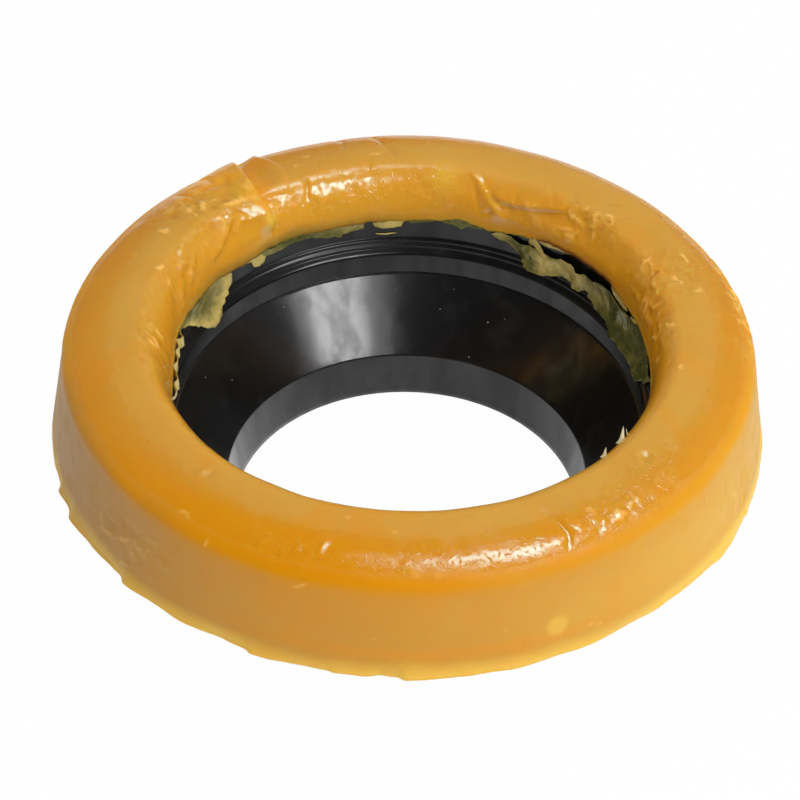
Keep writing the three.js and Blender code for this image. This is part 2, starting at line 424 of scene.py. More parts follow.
def rounded(corners: list[Triple], steps: int, spacing: float) -> np.ndarray:
    """A section line through corners, each rounded by a quadratic curve, with even points between.

    Each corner is (x, y, cut). The curve leaves the straight at a distance of cut before the corner
    and joins the next one at a distance of cut past it: p = (1-t)^2 a + 2t(1-t) corner + t^2 b.

    Args:
        corners: the corners in order; a cut of 0 keeps a corner sharp.
        steps: how many pieces each curve has.
        spacing: the longest straight piece.

    Returns:
        Array (n, 2).
    """
    places = np.array([corner[:2] for corner in corners])
    ends = []
    for i, (here, (_, _, cut)) in enumerate(zip(places, corners)):
        if cut == 0 or i in (0, len(corners) - 1):
            ends.append(here[None])
            continue
        back = places[i - 1] - here
        ahead = places[i + 1] - here
        start = here + back / np.linalg.norm(back) * cut
        stop = here + ahead / np.linalg.norm(ahead) * cut
        t = np.linspace(0, 1, steps + 1)[:, None]
        ends.append((1 - t) ** 2 * start + 2 * t * (1 - t) * here + t**2 * stop)
    line = np.concatenate(ends)
    runs = np.linalg.norm(np.diff(line, axis=0), axis=1)
    pieces = [line[:1]]
    for i, run in enumerate(runs):
        count = max(1, math.ceil(run / spacing))
        share = np.arange(1, count + 1)[:, None] / count
        pieces.append(line[i] + (line[i + 1] - line[i]) * share)
    return np.concatenate(pieces)


# Finishes


Colour = Triple
Socket = bpy.types.NodeSocket


class Maths(Enum):
    """What a Math node does with its inputs."""

    TIMES = "MULTIPLY"
    PLUS = "ADD"
    TIMES_PLUS = "MULTIPLY_ADD"
    UNSIGNED = "ABSOLUTE"


class Mixed(Enum):
    """What a Mix node mixes."""

    COLOURS = "RGBA"
    NUMBERS = "FLOAT"


def new_material(name: str) -> tuple[bpy.types.Material, bpy.types.Node]:
    """Makes a material with nodes.

    Args:
        name: of the material.

    Returns:
        The material and its Principled shader.
    """
    material = bpy.data.materials.new(name)
    material.use_nodes = True
    return material, material.node_tree.nodes["Principled BSDF"]


class NodeBench:
    """Short ways to add the few kinds of node that the finishes and the studio share."""

    def __init__(self, tree: bpy.types.NodeTree, coordinates: str = "Object") -> None:
        """Keeps the tree and adds its Texture Coordinate node.

        Args:
            tree: the nodes of a material or of the world.
            coordinates: which output of that node the bench works from.
        """
        self.nodes = tree.nodes
        self.links = tree.links
        self.place = self.nodes.new("ShaderNodeTexCoord").outputs[coordinates]

    def feed(self, socket: Socket, value: Socket | Colour | float) -> None:
        """Links a socket to its source, or sets it to a colour or a number.

        Args:
            socket: the input to feed.
            value: another node's output, three numbers for a colour, or one number.
        """
        if isinstance(value, tuple):
            socket.default_value = (*value, 1.0)
        elif isinstance(value, (int, float)):
            socket.default_value = value
        else:
            self.links.new(value, socket)

    def noise(self, scale: float, detail: float = 4.0, stretch: Vector | None = None) -> Socket:
        """Noise from 0 to 1 on the bench's coordinates.

        Args:
            scale: cells a metre.
            detail: how many finer layers it has.
            stretch: scale along X, Y and Z, or None for an even one.

        Returns:
            The factor's socket.
        """
        node = self.nodes.new("ShaderNodeTexNoise")
        node.inputs["Scale"].default_value = scale
        node.inputs["Detail"].default_value = detail
        source = self.place
        if stretch is not None:
            mapping = self.nodes.new("ShaderNodeMapping")
            mapping.inputs["Scale"].default_value = stretch
            self.links.new(source, mapping.inputs["Vector"])
            source = mapping.outputs["Vector"]
        self.links.new(source, node.inputs["Vector"])
        return node.outputs["Fac"]

    def reach(self, source: Socket, low: float, high: float, to_low: float = 0.0,
              to_high: float = 1.0) -> Socket:
        """Maps a range by a smooth step onto another, held at its ends.

        Args:
            source: the number to map.
            low: where the range starts.
            high: where it ends.
            to_low: what low becomes.
            to_high: what high becomes.

        Returns:
            The result's socket.
        """
        node = self.nodes.new("ShaderNodeMapRange")
        node.interpolation_type = "SMOOTHSTEP"
        for name, value in (("From Min", low), ("From Max", high), ("To Min", to_low), ("To Max", to_high)):
            node.inputs[name].default_value = value
        self.links.new(source, node.inputs["Value"])
        return node.outputs["Result"]

    def painted(self, name: str) -> Socket:
        """The number that paint() stored under a name."""
        node = self.nodes.new("ShaderNodeAttribute")
        node.attribute_name = name
        return node.outputs["Fac"]

    def mix(self, share: Socket, low: Socket | Colour, high: Socket | Colour | float,
            what: Mixed = Mixed.COLOURS) -> Socket:
        """Mixes two colours or numbers by a share.

        Args:
            share: 0 for all of low, 1 for all of high.
            low: a socket or a value.
            high: a socket or a value.
            what: whether they are colours or numbers.

        Returns:
            The result's socket.
        """
        node = self.nodes.new("ShaderNodeMix")
        node.data_type = what.value
        self.links.new(share, node.inputs["Factor"])
        for socket, value in ((node.inputs["A"], low), (node.inputs["B"], high)):
            self.feed(socket, value)
        return node.outputs["Result"]

    def maths(self, operation: Maths, *values: Socket | float) -> Socket:
        """A Math node.

        Args:
            operation: what it does with its inputs.
            values: what its inputs get, in their order.

        Returns:
            The result's socket.
        """
        node = self.nodes.new("ShaderNodeMath")
        node.operation = operation.value
        for socket, value in zip(node.inputs, values):
            self.feed(socket, value)
        return node.outputs["Value"]

    def sum(self, first: Socket, second: Socket, weight: float) -> Socket:
        """first + weight times second."""
        return self.maths(Maths.TIMES_PLUS, second, weight, first)

    def product(self, first: Socket, second: Socket) -> Socket:
        """first times second."""
        return self.maths(Maths.TIMES, first, second)

    def bump(self, height: Socket, depth: float, strength: float) -> Socket:
        """A bump normal.

        Args:
            height: from 0 to 1.
            depth: what the full height is, in metres.
            strength: how much of the bump shows.

        Returns:
            The normal's socket.
        """
        node = self.nodes.new("ShaderNodeBump")
        node.inputs["Strength"].default_value = strength
        node.inputs["Distance"].default_value = depth
        self.links.new(height, node.inputs["Height"])
        return node.outputs["Normal"]

    def split(self) -> bpy.types.NodeOutputs:
        """The bench's place or direction, along X, Y and Z."""
        node = self.nodes.new("ShaderNodeSeparateXYZ")
        self.links.new(self.place, node.inputs["Vector"])
        return node.outputs

    def distance(self) -> Socket:
        """How far the bench's place is from the origin."""
        node = self.nodes.new("ShaderNodeVectorMath")
        node.operation = "LENGTH"
        self.links.new(self.place, node.inputs[0])
        return node.outputs["Value"]

    def lean(self, line: Vector) -> Socket:
        """How far the bench's direction leans along a line: the product of the two vectors.

        Args:
            line: a vector one unit long.

        Returns:
            The result's socket.
        """
        node = self.nodes.new("ShaderNodeVectorMath")
        node.operation = "DOT_PRODUCT"
        self.links.new(self.place, node.inputs[0])
        node.inputs[1].default_value = line
        return node.outputs["Value"]


@dataclass(frozen=True)
class WaxFinish:
    """Amber petroleum wax: clear amber, a cloudy crown that is partly painted sheen, a pale thin foot painted
    with floor light glowing through it, and an olive film on black; with painted glow, shade and shadow laid
    on.
    """

    body: Colour = (0.63, 0.285, 0.012)
    # the wax's cloudy tone; where it is laid on the crown and the wall it is also a painted sheen of the pale
    # backdrop
    cloudy_and_sheen: Colour = (0.63, 0.335, 0.034)
    amber: Colour = (0.69, 0.285, 0.002)
    # painted glow: a brighter, warmer colour laid where more light is painted in
    painted_glow: Colour = (0.88, 0.40, 0.022)
    # painted shadow: dark red-brown laid along the lip where the torn strip hangs below it
    painted_lip_shadow: Colour = (0.16, 0.035, 0.004)
    # painted shade and sheen: darker and greyer, laid on the left, away from the key light
    left_shade_and_sheen: Colour = (0.36, 0.19, 0.06)
    # pale wax; on the foot's rim it is painted floor light glowing through the thin edge
    pale: Colour = (0.85, 0.54, 0.07)
    # smears with painted light on raised grain, and scrapes with painted shade in grooves
    smeared_and_lit: Colour = (0.90, 0.54, 0.13)
    scraped_and_shaded: Colour = (0.58, 0.20, 0.002)
    film_thin: Colour = (0.082, 0.090, 0.023)
    film_thick: Colour = (0.66, 0.51, 0.16)
    highlight: Colour = (0.42, 0.92, 1.0)
    film_highlight: Colour = (1.0, 0.86, 0.30)
    scatter: Colour = (1.0, 0.42, 0.08)
    scatter_depth: float = 0.0014
    refraction: float = 1.47
    glossy: float = 0.13
    matt: float = 0.44
    grain_depth: float = 0.00012

    def tint(self, bench: NodeBench, film_share: Socket) -> Socket:
        """The wax's colour: each tint is laid over those before it by its painted share.

        Args:
            bench: of the material.
            film_share: where the wax is a film.

        Returns:
            The colour's socket.
        """
        # The cloudy colour laid by its painted share is partly painted sheen; the blotches are the wax's own.
        colour = bench.mix(bench.painted("cloudy_and_sheen"), self.body, self.cloudy_and_sheen)
        blotches = bench.reach(bench.noise(110, 5), 0.50, 0.72, 0.0, 0.45)
        colour = bench.mix(blotches, colour, self.cloudy_and_sheen)
        clear = bench.reach(bench.noise(75, 5), 0.52, 0.68, 0.0, 0.55)
        colour = bench.mix(bench.sum(bench.painted("amber"), clear, 0.8), colour, self.amber)
        # Smears and scrapes that follow the relief: crests painted pale and lit, grooves painted dark and
        # shaded.
        smear_and_relief_shade = bench.painted("smear_and_relief_shade")
        colour = bench.mix(bench.reach(smear_and_relief_shade, 0.05, 0.7, 0.0, 0.8), colour, self.smeared_and_lit)
        colour = bench.mix(bench.reach(smear_and_relief_shade, -0.2, -1.0, 0.0, 0.45), colour, self.scraped_and_shaded)
        # Laid last: a painted glow, painted shade and sheen on the left, pale wax with the foot's painted
        # floor light, and painted shadow at the torn lip.
        later = (("painted_glow", self.painted_glow), ("left_shade_and_sheen", self.left_shade_and_sheen), ("pale", self.pale), ("painted_lip_shadow", self.painted_lip_shadow))
        for name, tint in later:
            colour = bench.mix(bench.painted(name), colour, tint)
        mottle = bench.reach(bench.noise(500, 4), 0.40, 0.62)
        clotted = bench.reach(bench.sum(bench.painted("thick"), mottle, 0.14), 0.08, 1.05)
        return bench.mix(film_share, colour, bench.mix(clotted, self.film_thin, self.film_thick))

    def make(self) -> bpy.types.Material:
        """Builds the material.

        Returns:
            One material for the ring's skin and its torn film.
        """
        material, shader = new_material("amber_wax")
        bench = NodeBench(material.node_tree)
        film_share = bench.painted("film")
        bench.feed(shader.inputs["Base Color"], self.tint(bench, film_share))
        patchy = bench.reach(bench.noise(240, 5), 0.45, 0.75, 0.0, 0.14)
        gloss = bench.reach(bench.painted("gloss"), 0.0, 1.0, self.matt, self.glossy)
        bench.feed(shader.inputs["Roughness"], bench.sum(gloss, patchy, 1.0))
        bench.feed(shader.inputs["Specular IOR Level"], bench.painted("shine"))
        sheen = bench.mix(film_share, self.highlight, self.film_highlight)
        bench.feed(shader.inputs["Specular Tint"], sheen)
        worked = bench.reach(bench.painted("worked"), 0.0, 1.0, 0.10, 1.0)
        specks = bench.reach(bench.noise(1300, 3), 0.52, 0.80)
        ripples = bench.sum(specks, bench.noise(420, 4), 1.2)
        relief = bench.bump(bench.product(ripples, worked), self.grain_depth, 0.8)
        bench.feed(shader.inputs["Normal"], relief)
        bench.feed(shader.inputs["Subsurface Weight"], bench.reach(film_share, 0.2, 1.0, 0.85, 0.0))
        shader.inputs["IOR"].default_value = self.refraction
        shader.inputs["Subsurface Radius"].default_value = self.scatter
        shader.inputs["Subsurface Scale"].default_value = self.scatter_depth
        return material


@dataclass(frozen=True)
class ShredFinish:
    """Wax pulled out so thin that it has gone whitish."""

    colour: Colour = (0.62, 0.53, 0.30)
    roughness: float = 0.35
    specular: float = 0.4

    def make(self) -> bpy.types.Material:
        """Builds the material.

        Returns:
            The material of fibres and crumbs.
        """
        material, shader = new_material("shredded_wax")
        shader.inputs["Base Color"].default_value = (*self.colour, 1.0)
        shader.inputs["Roughness"].default_value = self.roughness
        shader.inputs["Specular IOR Level"].default_value = self.specular
        return material


@dataclass(frozen=True)
class HornFinish:
    """Black moulded polyethylene: glossy, faintly streaked by the mould, with a few fine scratches."""

    colour: Colour = (0.004, 0.004, 0.0042)
    scuffed: Colour = (0.012, 0.012, 0.012)
    refraction: float = 1.5
    sheen: float = 0.38
    gloss: tuple[float, float] = (0.12, 0.26)
    relief_depth: float = 0.0002

    def make(self) -> bpy.types.Material:
        """Builds the material.

        Returns:
            The horn's material.
        """
        material, shader = new_material("black_polyethylene")
        bench = NodeBench(material.node_tree)
        scuffs = bench.reach(bench.noise(180, 6), 0.5, 0.75)
        bench.feed(shader.inputs["Base Color"], bench.mix(scuffs, self.colour, self.scuffed))
        smears = bench.noise(260, 5, Vector((1.0, 1.0, 0.3)))
        bench.feed(shader.inputs["Coat Roughness"], bench.reach(smears, 0.35, 0.7, *self.gloss))
        satin = bench.painted("satin")
        coated = bench.product(bench.reach(smears, 0.35, 0.7, 0.95, 0.65),
                               bench.reach(satin, 0.0, 1.0, 1.0, 0.7))
        bench.feed(shader.inputs["Coat Weight"], coated)
        shader.inputs["Roughness"].default_value = self.sheen
        relief = bench.sum(bench.noise(60, 3, Vector((1.0, 1.0, 0.5))), bench.noise(900, 3), 0.12)
        bumpy = bench.bump(relief, self.relief_depth, 0.035)
        bench.feed(shader.inputs["Normal"], bumpy)
        bench.feed(shader.inputs["Coat Normal"], bumpy)
        bench.feed(shader.inputs["Specular IOR Level"], bench.reach(satin, 0.0, 1.0, 0.18, 0.12))
        shader.inputs["IOR"].default_value = self.refraction
        return material


# The horn


@dataclass
class Horn:
    """The black plastic horn: a collar with an outward flange, three moulded steps, a cone and an outlet.

    Heights are in mm above the wax's underside. The underside is how far that stands off the floor.
    """

    underside: float
    columns: int = 540
    wall: float = 1.7
    flange_radius: float = 57.0
    flange_top: float = 14.5
    collar_radius: float = 48.0
    band_radius: float = 46.05
    band_top: float = 4.55
    throat: tuple[float, float] = (35.85, -14.0)
    outlet_radius: float = 34.6
    bore: list[Triple] = field(init=False)

    def __post_init__(self) -> None:
        """Draws the bore's corners, from the collar's mouth down to the outlet, with their roundings."""
        collar, band, nose = self.collar_radius, self.band_radius, self.band_top
        first, second = collar - 0.5, collar - 1.0
        self.bore = [
            (collar + 0.2, self.flange_top, 0.0),
            (collar + 0.1, nose + 3.35, 0.15),
            (first, nose + 2.95, 0.28),
            (first + 0.1, nose + 2.3, 0.15),
            (second, nose + 1.95, 0.28),
            (second + 0.12, nose + 1.25, 0.2),
            (band, nose + 0.45, 0.62),
            (band, 0.28, 0.08),
            (band + 0.22, 0.02, 0.08),
            (band - 0.2, -0.3, 0.12),
            (*self.throat, 0.3),
            (self.outlet_radius, -self.underside + 0.3, 0.25),
        ]

    def outside(self) -> list[Triple]:
        """The outside's corners, from the outlet's rim back up to the flange.

        Returns:
            A radius, a height and a cut for each.
        """
        throat, drop = self.throat
        sill = self.flange_top - self.wall
        return [
            (self.outlet_radius + 0.4, -self.underside, 0.2),
            (self.outlet_radius + self.wall, -self.underside, 0.4),
            (throat + self.wall, drop - self.wall / 2, 0.8),
            (self.band_radius + self.wall, -self.wall / 2, 0.5),
            (self.band_radius + self.wall, self.band_top - self.wall, 0.5),
            (self.collar_radius + self.wall, self.band_top + 2.0, 0.5),
            (self.collar_radius + self.wall, sill, 0.3),
            (self.flange_radius, sill, 0.3),
            (self.flange_radius, self.flange_top, 0.3),
        ]

    def bore_radius(self, height: np.ndarray) -> np.ndarray:
        """Radius of the bore at each height, by straight lines between its corners."""
        corners = np.array(self.bore)[::-1]
        return np.interp(height, corners[:, 1], corners[:, 0])

    def build(self) -> bpy.types.Object:
        """Turns the closed section round the axis, a little out of true.

        Returns:
            The horn.
        """
        section = rounded([*self.outside(), *self.bore], steps=5, spacing=1.1)
        angle = np.linspace(0, 360, self.columns, endpoint=False)[:, None]
        radius, height = section[None, :, 0], section[None, :, 1]
        lump = Grain(pitch=26, rise=0.05, seed=71, octaves=2, mean_radius=45).height(angle, height)
        points = turned(radius + lump * (height > -self.underside + 1), angle, height + self.underside)
        piece = sheet_mesh("horn_body", points, close_rows=True, close_angles=True)
        satin = (height > -0.2) * (radius < self.collar_radius + 0.5)
        paint(piece, "satin", satin + 0 * angle)
        return piece

    def dress(self, piece: bpy.types.Object) -> None:
        """Gives the horn its finish and puts it in the place of its solid.

        Args:
            piece: the horn.
        """
        piece.data.materials.append(HornFinish().make())
        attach(piece, "root")
        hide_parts("horn")


# The wax ring


# The path of the fold that a thumb pressed into the far left of the ring
PRESSED_FOLD: Places = [(124.0, 20.5), (124.6, 24.5), (126.6, 33), (127.4, 36.7), (126.4, 41.2)]


@dataclass(frozen=True)
class Skin:
    """The grid of places on the ring's skin, and what is worked out once for all of them.

    Angles are a column, and places along and their radii are rows. The other three have a number for
    each place: the height of its scratches, how cloudy it is, and how untouched the wax has stayed.
    """

    angle: np.ndarray
    along: np.ndarray
    radius: np.ndarray
    scratches: np.ndarray
    cloud: np.ndarray
    untouched: np.ndarray


@dataclass
class WaxRing:
    """The moulded wax ring, with what handling has done to its skin."""

    underside: float
    horn: Horn
    columns: int = 850
    foot_radius: float = 69.85
    height: float = 24.3
    draft: float = 2.86
    shoulder_rise: float = 5.85
    crown_radius: float = 52.7
    lip_height: float = 13.9
    lip_radius: float = 47.05
    foot_rounding: float = 0.9
    film_thickness: float = 0.16
    film_clot: float = 0.15
    seat_gap: float = 0.02
    skin_rows: tuple[int, int, int] = (25, 28, 31)
    waves: Grain = Grain(pitch=30, rise=0.22, seed=11)
    ripple: Grain = Grain(pitch=6.5, rise=0.05, seed=23, octaves=3)
    olive: Window = Window(128, 47, 34, 8)
    # How much farther down the shoulder the satin crown, with its cloudy tone and painted sheen, reaches
    # where nothing touched it
    untouched_width: float = 5.5
    # From this pitch in mm a patch's grain is painted into its colour as lit crests and shaded grooves
    coarse_pitch: float = 2.8

    # Where solid wax ends at the lip, and where the film below it ends: (angle, height) places
    lip_line: Places = field(default_factory=lambda: [
        (-180, 12.2), (-150, 13.0), (-90, 13.2), (-30, 13.2), (-8, 13.0), (4, 13.6), (14, 14.3), (24, 14.2),
        (30, 15.0), (34, 15.6), (46, 15.2), (56, 14.6), (64, 13.6), (70, 12.9), (78, 14.1), (92, 12.6),
        (100, 12.9), (107, 12.6), (125, 13.1), (131, 12.4), (137, 12.0), (146, 13.1), (156, 12.6),
        (168, 12.8), (180, 12.2),
    ])
    film_line: Places = field(default_factory=lambda: [
        (-180, 11.4), (-172, 11.8), (-160, 12.4), (-90, 12.7), (-20, 12.7), (-4, 12.6), (4, 13.2), (14, 13.9),
        (30, 14.8), (56, 14.1), (64, 12.6), (70, 12.2), (74, 12.6), (78, 13.6), (88, 12.4), (91, 12.0),
        (100, 12.3), (107, 12.0), (113.7, 12.4), (120.6, 12.2), (125.3, 11.4), (128, 11.9), (131, 11.6),
        (135, 11.7), (138.2, 12.0), (141, 12.3), (149, 12.6), (156, 12.2), (160, 11.9), (165, 11.6),
        (172, 11.3), (180, 11.4),
    ])

    folds: list[Fold] = field(default_factory=lambda: [
        Fold(PRESSED_FOLD, 0.8, 0.3, 5.2),
        Fold([(123.6, 20.5), (124.2, 24.5), (126.2, 33), (127.0, 36.7), (126.0, 40.8)], -0.55, 3.0, 0.25),
        Fold([(128.4, 26.0), (131.4, 32), (132.2, 36), (130.0, 40)], -0.25, 0.6, 1.2),
        Fold([(127.8, 39.5), (128.0, 42.4), (126.0, 44.6)], 0.5, 1.3, 1.6),
        Fold([(121.5, 24.5), (122.5, 30), (123.0, 36)], -0.4, 2.2, 1.4),
        Fold([(120.0, 20.5), (119.5, 25.5), (118.2, 30.5), (118.8, 35.4)], 0.55, 0.3, 2.4),
        Fold([(131.5, 20.5), (131.0, 24.0), (131.8, 28.0)], -0.35, 0.5, 1.2),
        Fold([(104.2, 21.0), (103.4, 25.0), (103.8, 28.6)], -0.3, 0.6, 0.5),
        Fold([(115.4, 36.0), (114.9, 38.0), (115.9, 41.6)], -0.5, 0.4, 0.5),
        Fold([(97.6, 22.5), (96.5, 25.9), (94.2, 31.8), (93.6, 34)], -0.6, 0.9, 0.5, Shape.SHARP),
        Fold([(98.8, 32.9), (100.0, 37.4)], -0.25, 0.5, 0.6),
        Fold([(144.5, 29.6), (142.5, 32.5), (138.6, 33.4)], -0.28, 0.45, 0.5),
        Fold([(137.5, 28.2), (133.0, 28.0), (129.4, 28.8)], -0.32, 0.45, 0.7),
        Fold([(138.4, 24.2), (138.0, 28.0), (139.6, 31.5)], -0.3, 0.5, 0.5),
        Fold([(139.6, 26.2), (138.6, 31.0), (140.6, 35.2)], 0.3, 1.0, 0.6),
        Fold([(134.4, 36.0), (136.4, 38.3), (139.5, 40.8), (143.0, 42.4), (147.0, 43.2)], 0.45, 0.5, 1.5),
        Fold([(136.0, 40.0), (140.0, 42.4), (146.0, 44.6)], -0.4, 1.9, 0.9),
        Fold([(152.0, 36.6), (158.0, 40.0), (161.0, 44.5)], 0.4, 1.6, 0.8),
        Fold([(150.5, 39.5), (155.0, 42.0), (158.0, 45.8)], 0.3, 0.5, 0.7),
        Fold([(77.5, 37.2), (74.8, 39.0), (73.6, 42.6), (72.4, 45.6)], -0.2, 0.5, 0.5),
        Fold([(76.6, 36.6), (74.2, 38.0), (71.2, 41.0), (69.0, 42.7), (66.0, 45.3)], 0.5, 0.4, 1.3),
        Fold([(70.4, 40.6), (66.0, 41.6), (59.5, 40.8), (54.0, 39.4), (50.6, 38.3)], 0.6, 2.6, 0.35),
        Fold([(70.4, 41.2), (66.0, 42.3), (59.5, 41.7), (54.0, 40.4)], -0.4, 0.4, 1.4, Shape.SHARP),
        Fold([(68.0, 43.6), (63.0, 44.8), (57.0, 45.6)], 0.18, 0.5, 0.5),
        Fold([(51.5, 38.5), (49.0, 36.6), (46.4, 36.2)], 0.4, 0.8, 0.8),
        Fold([(47.6, 38.8), (45.0, 37.2), (43.2, 34.8)], 0.28, 0.5, 0.5),
        Fold([(45.2, 39.8), (42.2, 38.2), (40.6, 36.2)], 0.26, 0.45, 0.5),
        Fold([(48.8, 40.2), (46.4, 41.2), (44.6, 43.2)], 0.26, 0.5, 0.5),
        Fold([(22.6, 33.6), (20.5, 36.4), (21.4, 38.4)], -0.3, 1.1, 0.7),
        Fold([(27.6, 30.4), (24.6, 31.6), (22.0, 34.2), (20.6, 37.4)], 0.22, 0.7, 0.5),
        Fold([(17.2, 30.2), (15.2, 33.0), (15.6, 36.6)], 0.2, 0.6, 0.6),
        Fold([(-64.5, 32.2), (-63.6, 30.2), (-62.6, 28.0), (-62.0, 25.3), (-63.5, 22.4)], -0.5, 0.5, 0.75,
             Shape.SHARP),
        Fold([(-61.6, 30.6), (-60.2, 27.5), (-60.6, 24.2)], 0.2, 1.2, 1.2),
        Fold([(-57.8, 25.4), (-57.0, 24.0), (-57.6, 22.4)], -0.28, 0.4, 0.4),
        Fold([(-90.5, 33.3), (-88.6, 31.8), (-87.0, 30.0), (-85.0, 29.2)], -0.16, 0.5, 0.5),
        Fold([(-79.4, 34.8), (-77.2, 32.6), (-75.5, 28.6)], -0.14, 0.5, 0.6),
        Fold([(-104.2, 24.2), (-104.2, 26.2), (-103.6, 27.6), (-102.6, 28.4)], 0.34, 0.3, 0.45),
        Fold([(-103.5, 34.5), (-102.2, 32.0), (-103.0, 29.6)], -0.12, 0.4, 0.9),
        Fold([(-147.8, 6.8), (-146.0, 5.8), (-143.5, 7.8), (-141.6, 8.6)], 0.2, 0.35, 0.35),
        Fold([(-142.0, 9.4), (-139.5, 11.7), (-137.2, 11.5), (-135.0, 13.0)], 0.16, 0.35, 0.35),
        Fold([(-113.6, 4.2), (-110.0, 5.2), (-105.0, 4.3)], 0.2, 0.4, 0.8),
        Fold([(-100.8, 6.3), (-99.0, 5.2), (-97.0, 4.8)], 0.22, 0.35, 0.5),
        Fold([(-34.0, 17.6), (-34.2, 15.0)], -0.2, 0.35, 0.35),
        Fold([(-29.6, 16.4), (-28.6, 14.0), (-29.4, 12.0)], -0.22, 0.4, 0.4),
        Fold([(-23.4, 13.0), (-22.2, 10.4), (-23.0, 7.6)], -0.24, 0.45, 0.45),
        Fold([(-22.8, 7.0), (-22.0, 5.1), (-23.4, 3.4)], -0.24, 0.5, 0.5),
        Fold([(-14.0, 8.0), (-12.5, 5.4), (-13.4, 3.0)], -0.22, 0.5, 0.5),
        Fold([(-178.5, 36.0), (-177.0, 38.5), (-176.0, 41.0)], 0.24, 0.45, 0.45),
    ])
    pocks: list[Pock] = field(default_factory=lambda: [
        Pock(-39.0, 31.4, 1.6, -0.42, 0.24), Pock(-131.9, 31.9, 0.75, 0.55), Pock(-130.4, 32.5, 0.9, -0.5),
        Pock(-108.0, 24.5, 0.42, 0.36), Pock(-107.0, 21.7, 0.5, 0.28), Pock(-114.0, 24.2, 0.5, 0.22),
        Pock(-111.0, 22.6, 0.9, -0.18, 0.14), Pock(20.5, 36.4, 0.9, -0.3, 0.2), Pock(40.5, 34.8, 0.5, 0.4),
        Pock(1.0, 37.1, 0.45, 0.3), Pock(1.5, 27.5, 0.5, 0.3), Pock(-47.5, 27.5, 0.55, 0.3),
        Pock(-39.5, 27.2, 0.5, 0.25), Pock(-34.0, 23.9, 0.5, 0.25), Pock(176.5, 34.8, 0.5, 0.25),
        Pock(152.0, 36.6, 0.5, 0.3), Pock(158.5, 28.6, 0.45, 0.25), Pock(127.4, 42.0, 2.0, 0.75),
        Pock(125.2, 44.9, 0.8, -0.6), Pock(-90.0, 24.4, 0.4, 0.25), Pock(-66.5, 24.6, 0.4, 0.2),
        Pock(136.0, 38.6, 0.6, 0.35), Pock(139.6, 41.0, 0.6, 0.35), Pock(142.6, 42.2, 0.6, 0.3),
        Pock(-44.0, 30.2, 0.45, 0.25), Pock(-50.0, 31.0, 0.4, 0.2), Pock(-52.0, 24.0, 0.45, 0.25),
    ])
    swells: Patches = field(default_factory=lambda: [
        (Window(146, 33, 9, 6), 0.5), (Window(159, 43, 8, 4), -0.45), (Window(108, 28, 7, 5), -0.3),
        (Window(118.5, 33, 3.4, 4), -0.35), (Window(44, 40, 10, 4), -0.5), (Window(20, 38, 7, 5), 0.4),
        (Window(-25, 20, 10, 6), -0.3), (Window(-60, 25, 8, 4), 0.25), (Window(-105, 26, 9, 5), 0.25),
        (Window(-140, 12, 12, 6), -0.35), (Window(-158, 28, 10, 6), 0.25), (Window(78, 41, 6, 3), 0.25),
    ])
    pale_patches: Patches = field(default_factory=lambda: [
        (Window(127.0, 42.4, 2.2, 2.0), 0.75), (Window(-30, 9, 34, 11), 0.35), (Window(82, 39, 3, 3), 0.5),
        (Window(108, 43.5, 45, 5), 0.30),
    ])
    dry_patches: Patches = field(default_factory=lambda: [
        (Window(133, 28.5, 8, 6), 0.5), (Window(-116, 25, 24, 4), 0.45),
    ])
    # Flash at the foot: angle, half widths before and after it in degrees, and how far it stands out
    flash: list[tuple[float, float, float, float]] = field(default_factory=lambda: [
        (-161.2, 1.0, 2.6, 0.75), (-154.6, 1.5, 4.6, 1.0), (-146, 4, 4, 0.15), (-138.0, 1.1, 4.6, 0.95),
        (-126.5, 3.0, 3.0, 0.4), (-119.5, 2.2, 2.2, -0.4), (-113.4, 0.9, 5.0, 0.8), (-100.4, 0.7, 3.2, 0.5),
        (-96.2, 1.5, 1.5, 0.35), (-93.6, 1.0, 1.0, -0.4), (-89.8, 0.8, 5.5, 1.0), (-81.0, 3.5, 3.5, 0.45),
        (-73.0, 3.5, 3.0, 0.4), (-66, 2.0, 2.0, -0.2), (-53, 5.0, 6.5, -0.72), (-43.5, 4, 4, -0.3),
        (-32.5, 1.6, 5.5, 0.52), (-21.4, 0.8, 1.0, 0.25), (35, 4, 4, 0.3), (140, 4, 4, 0.35),
        (170, 3, 4, 0.3),
    ])
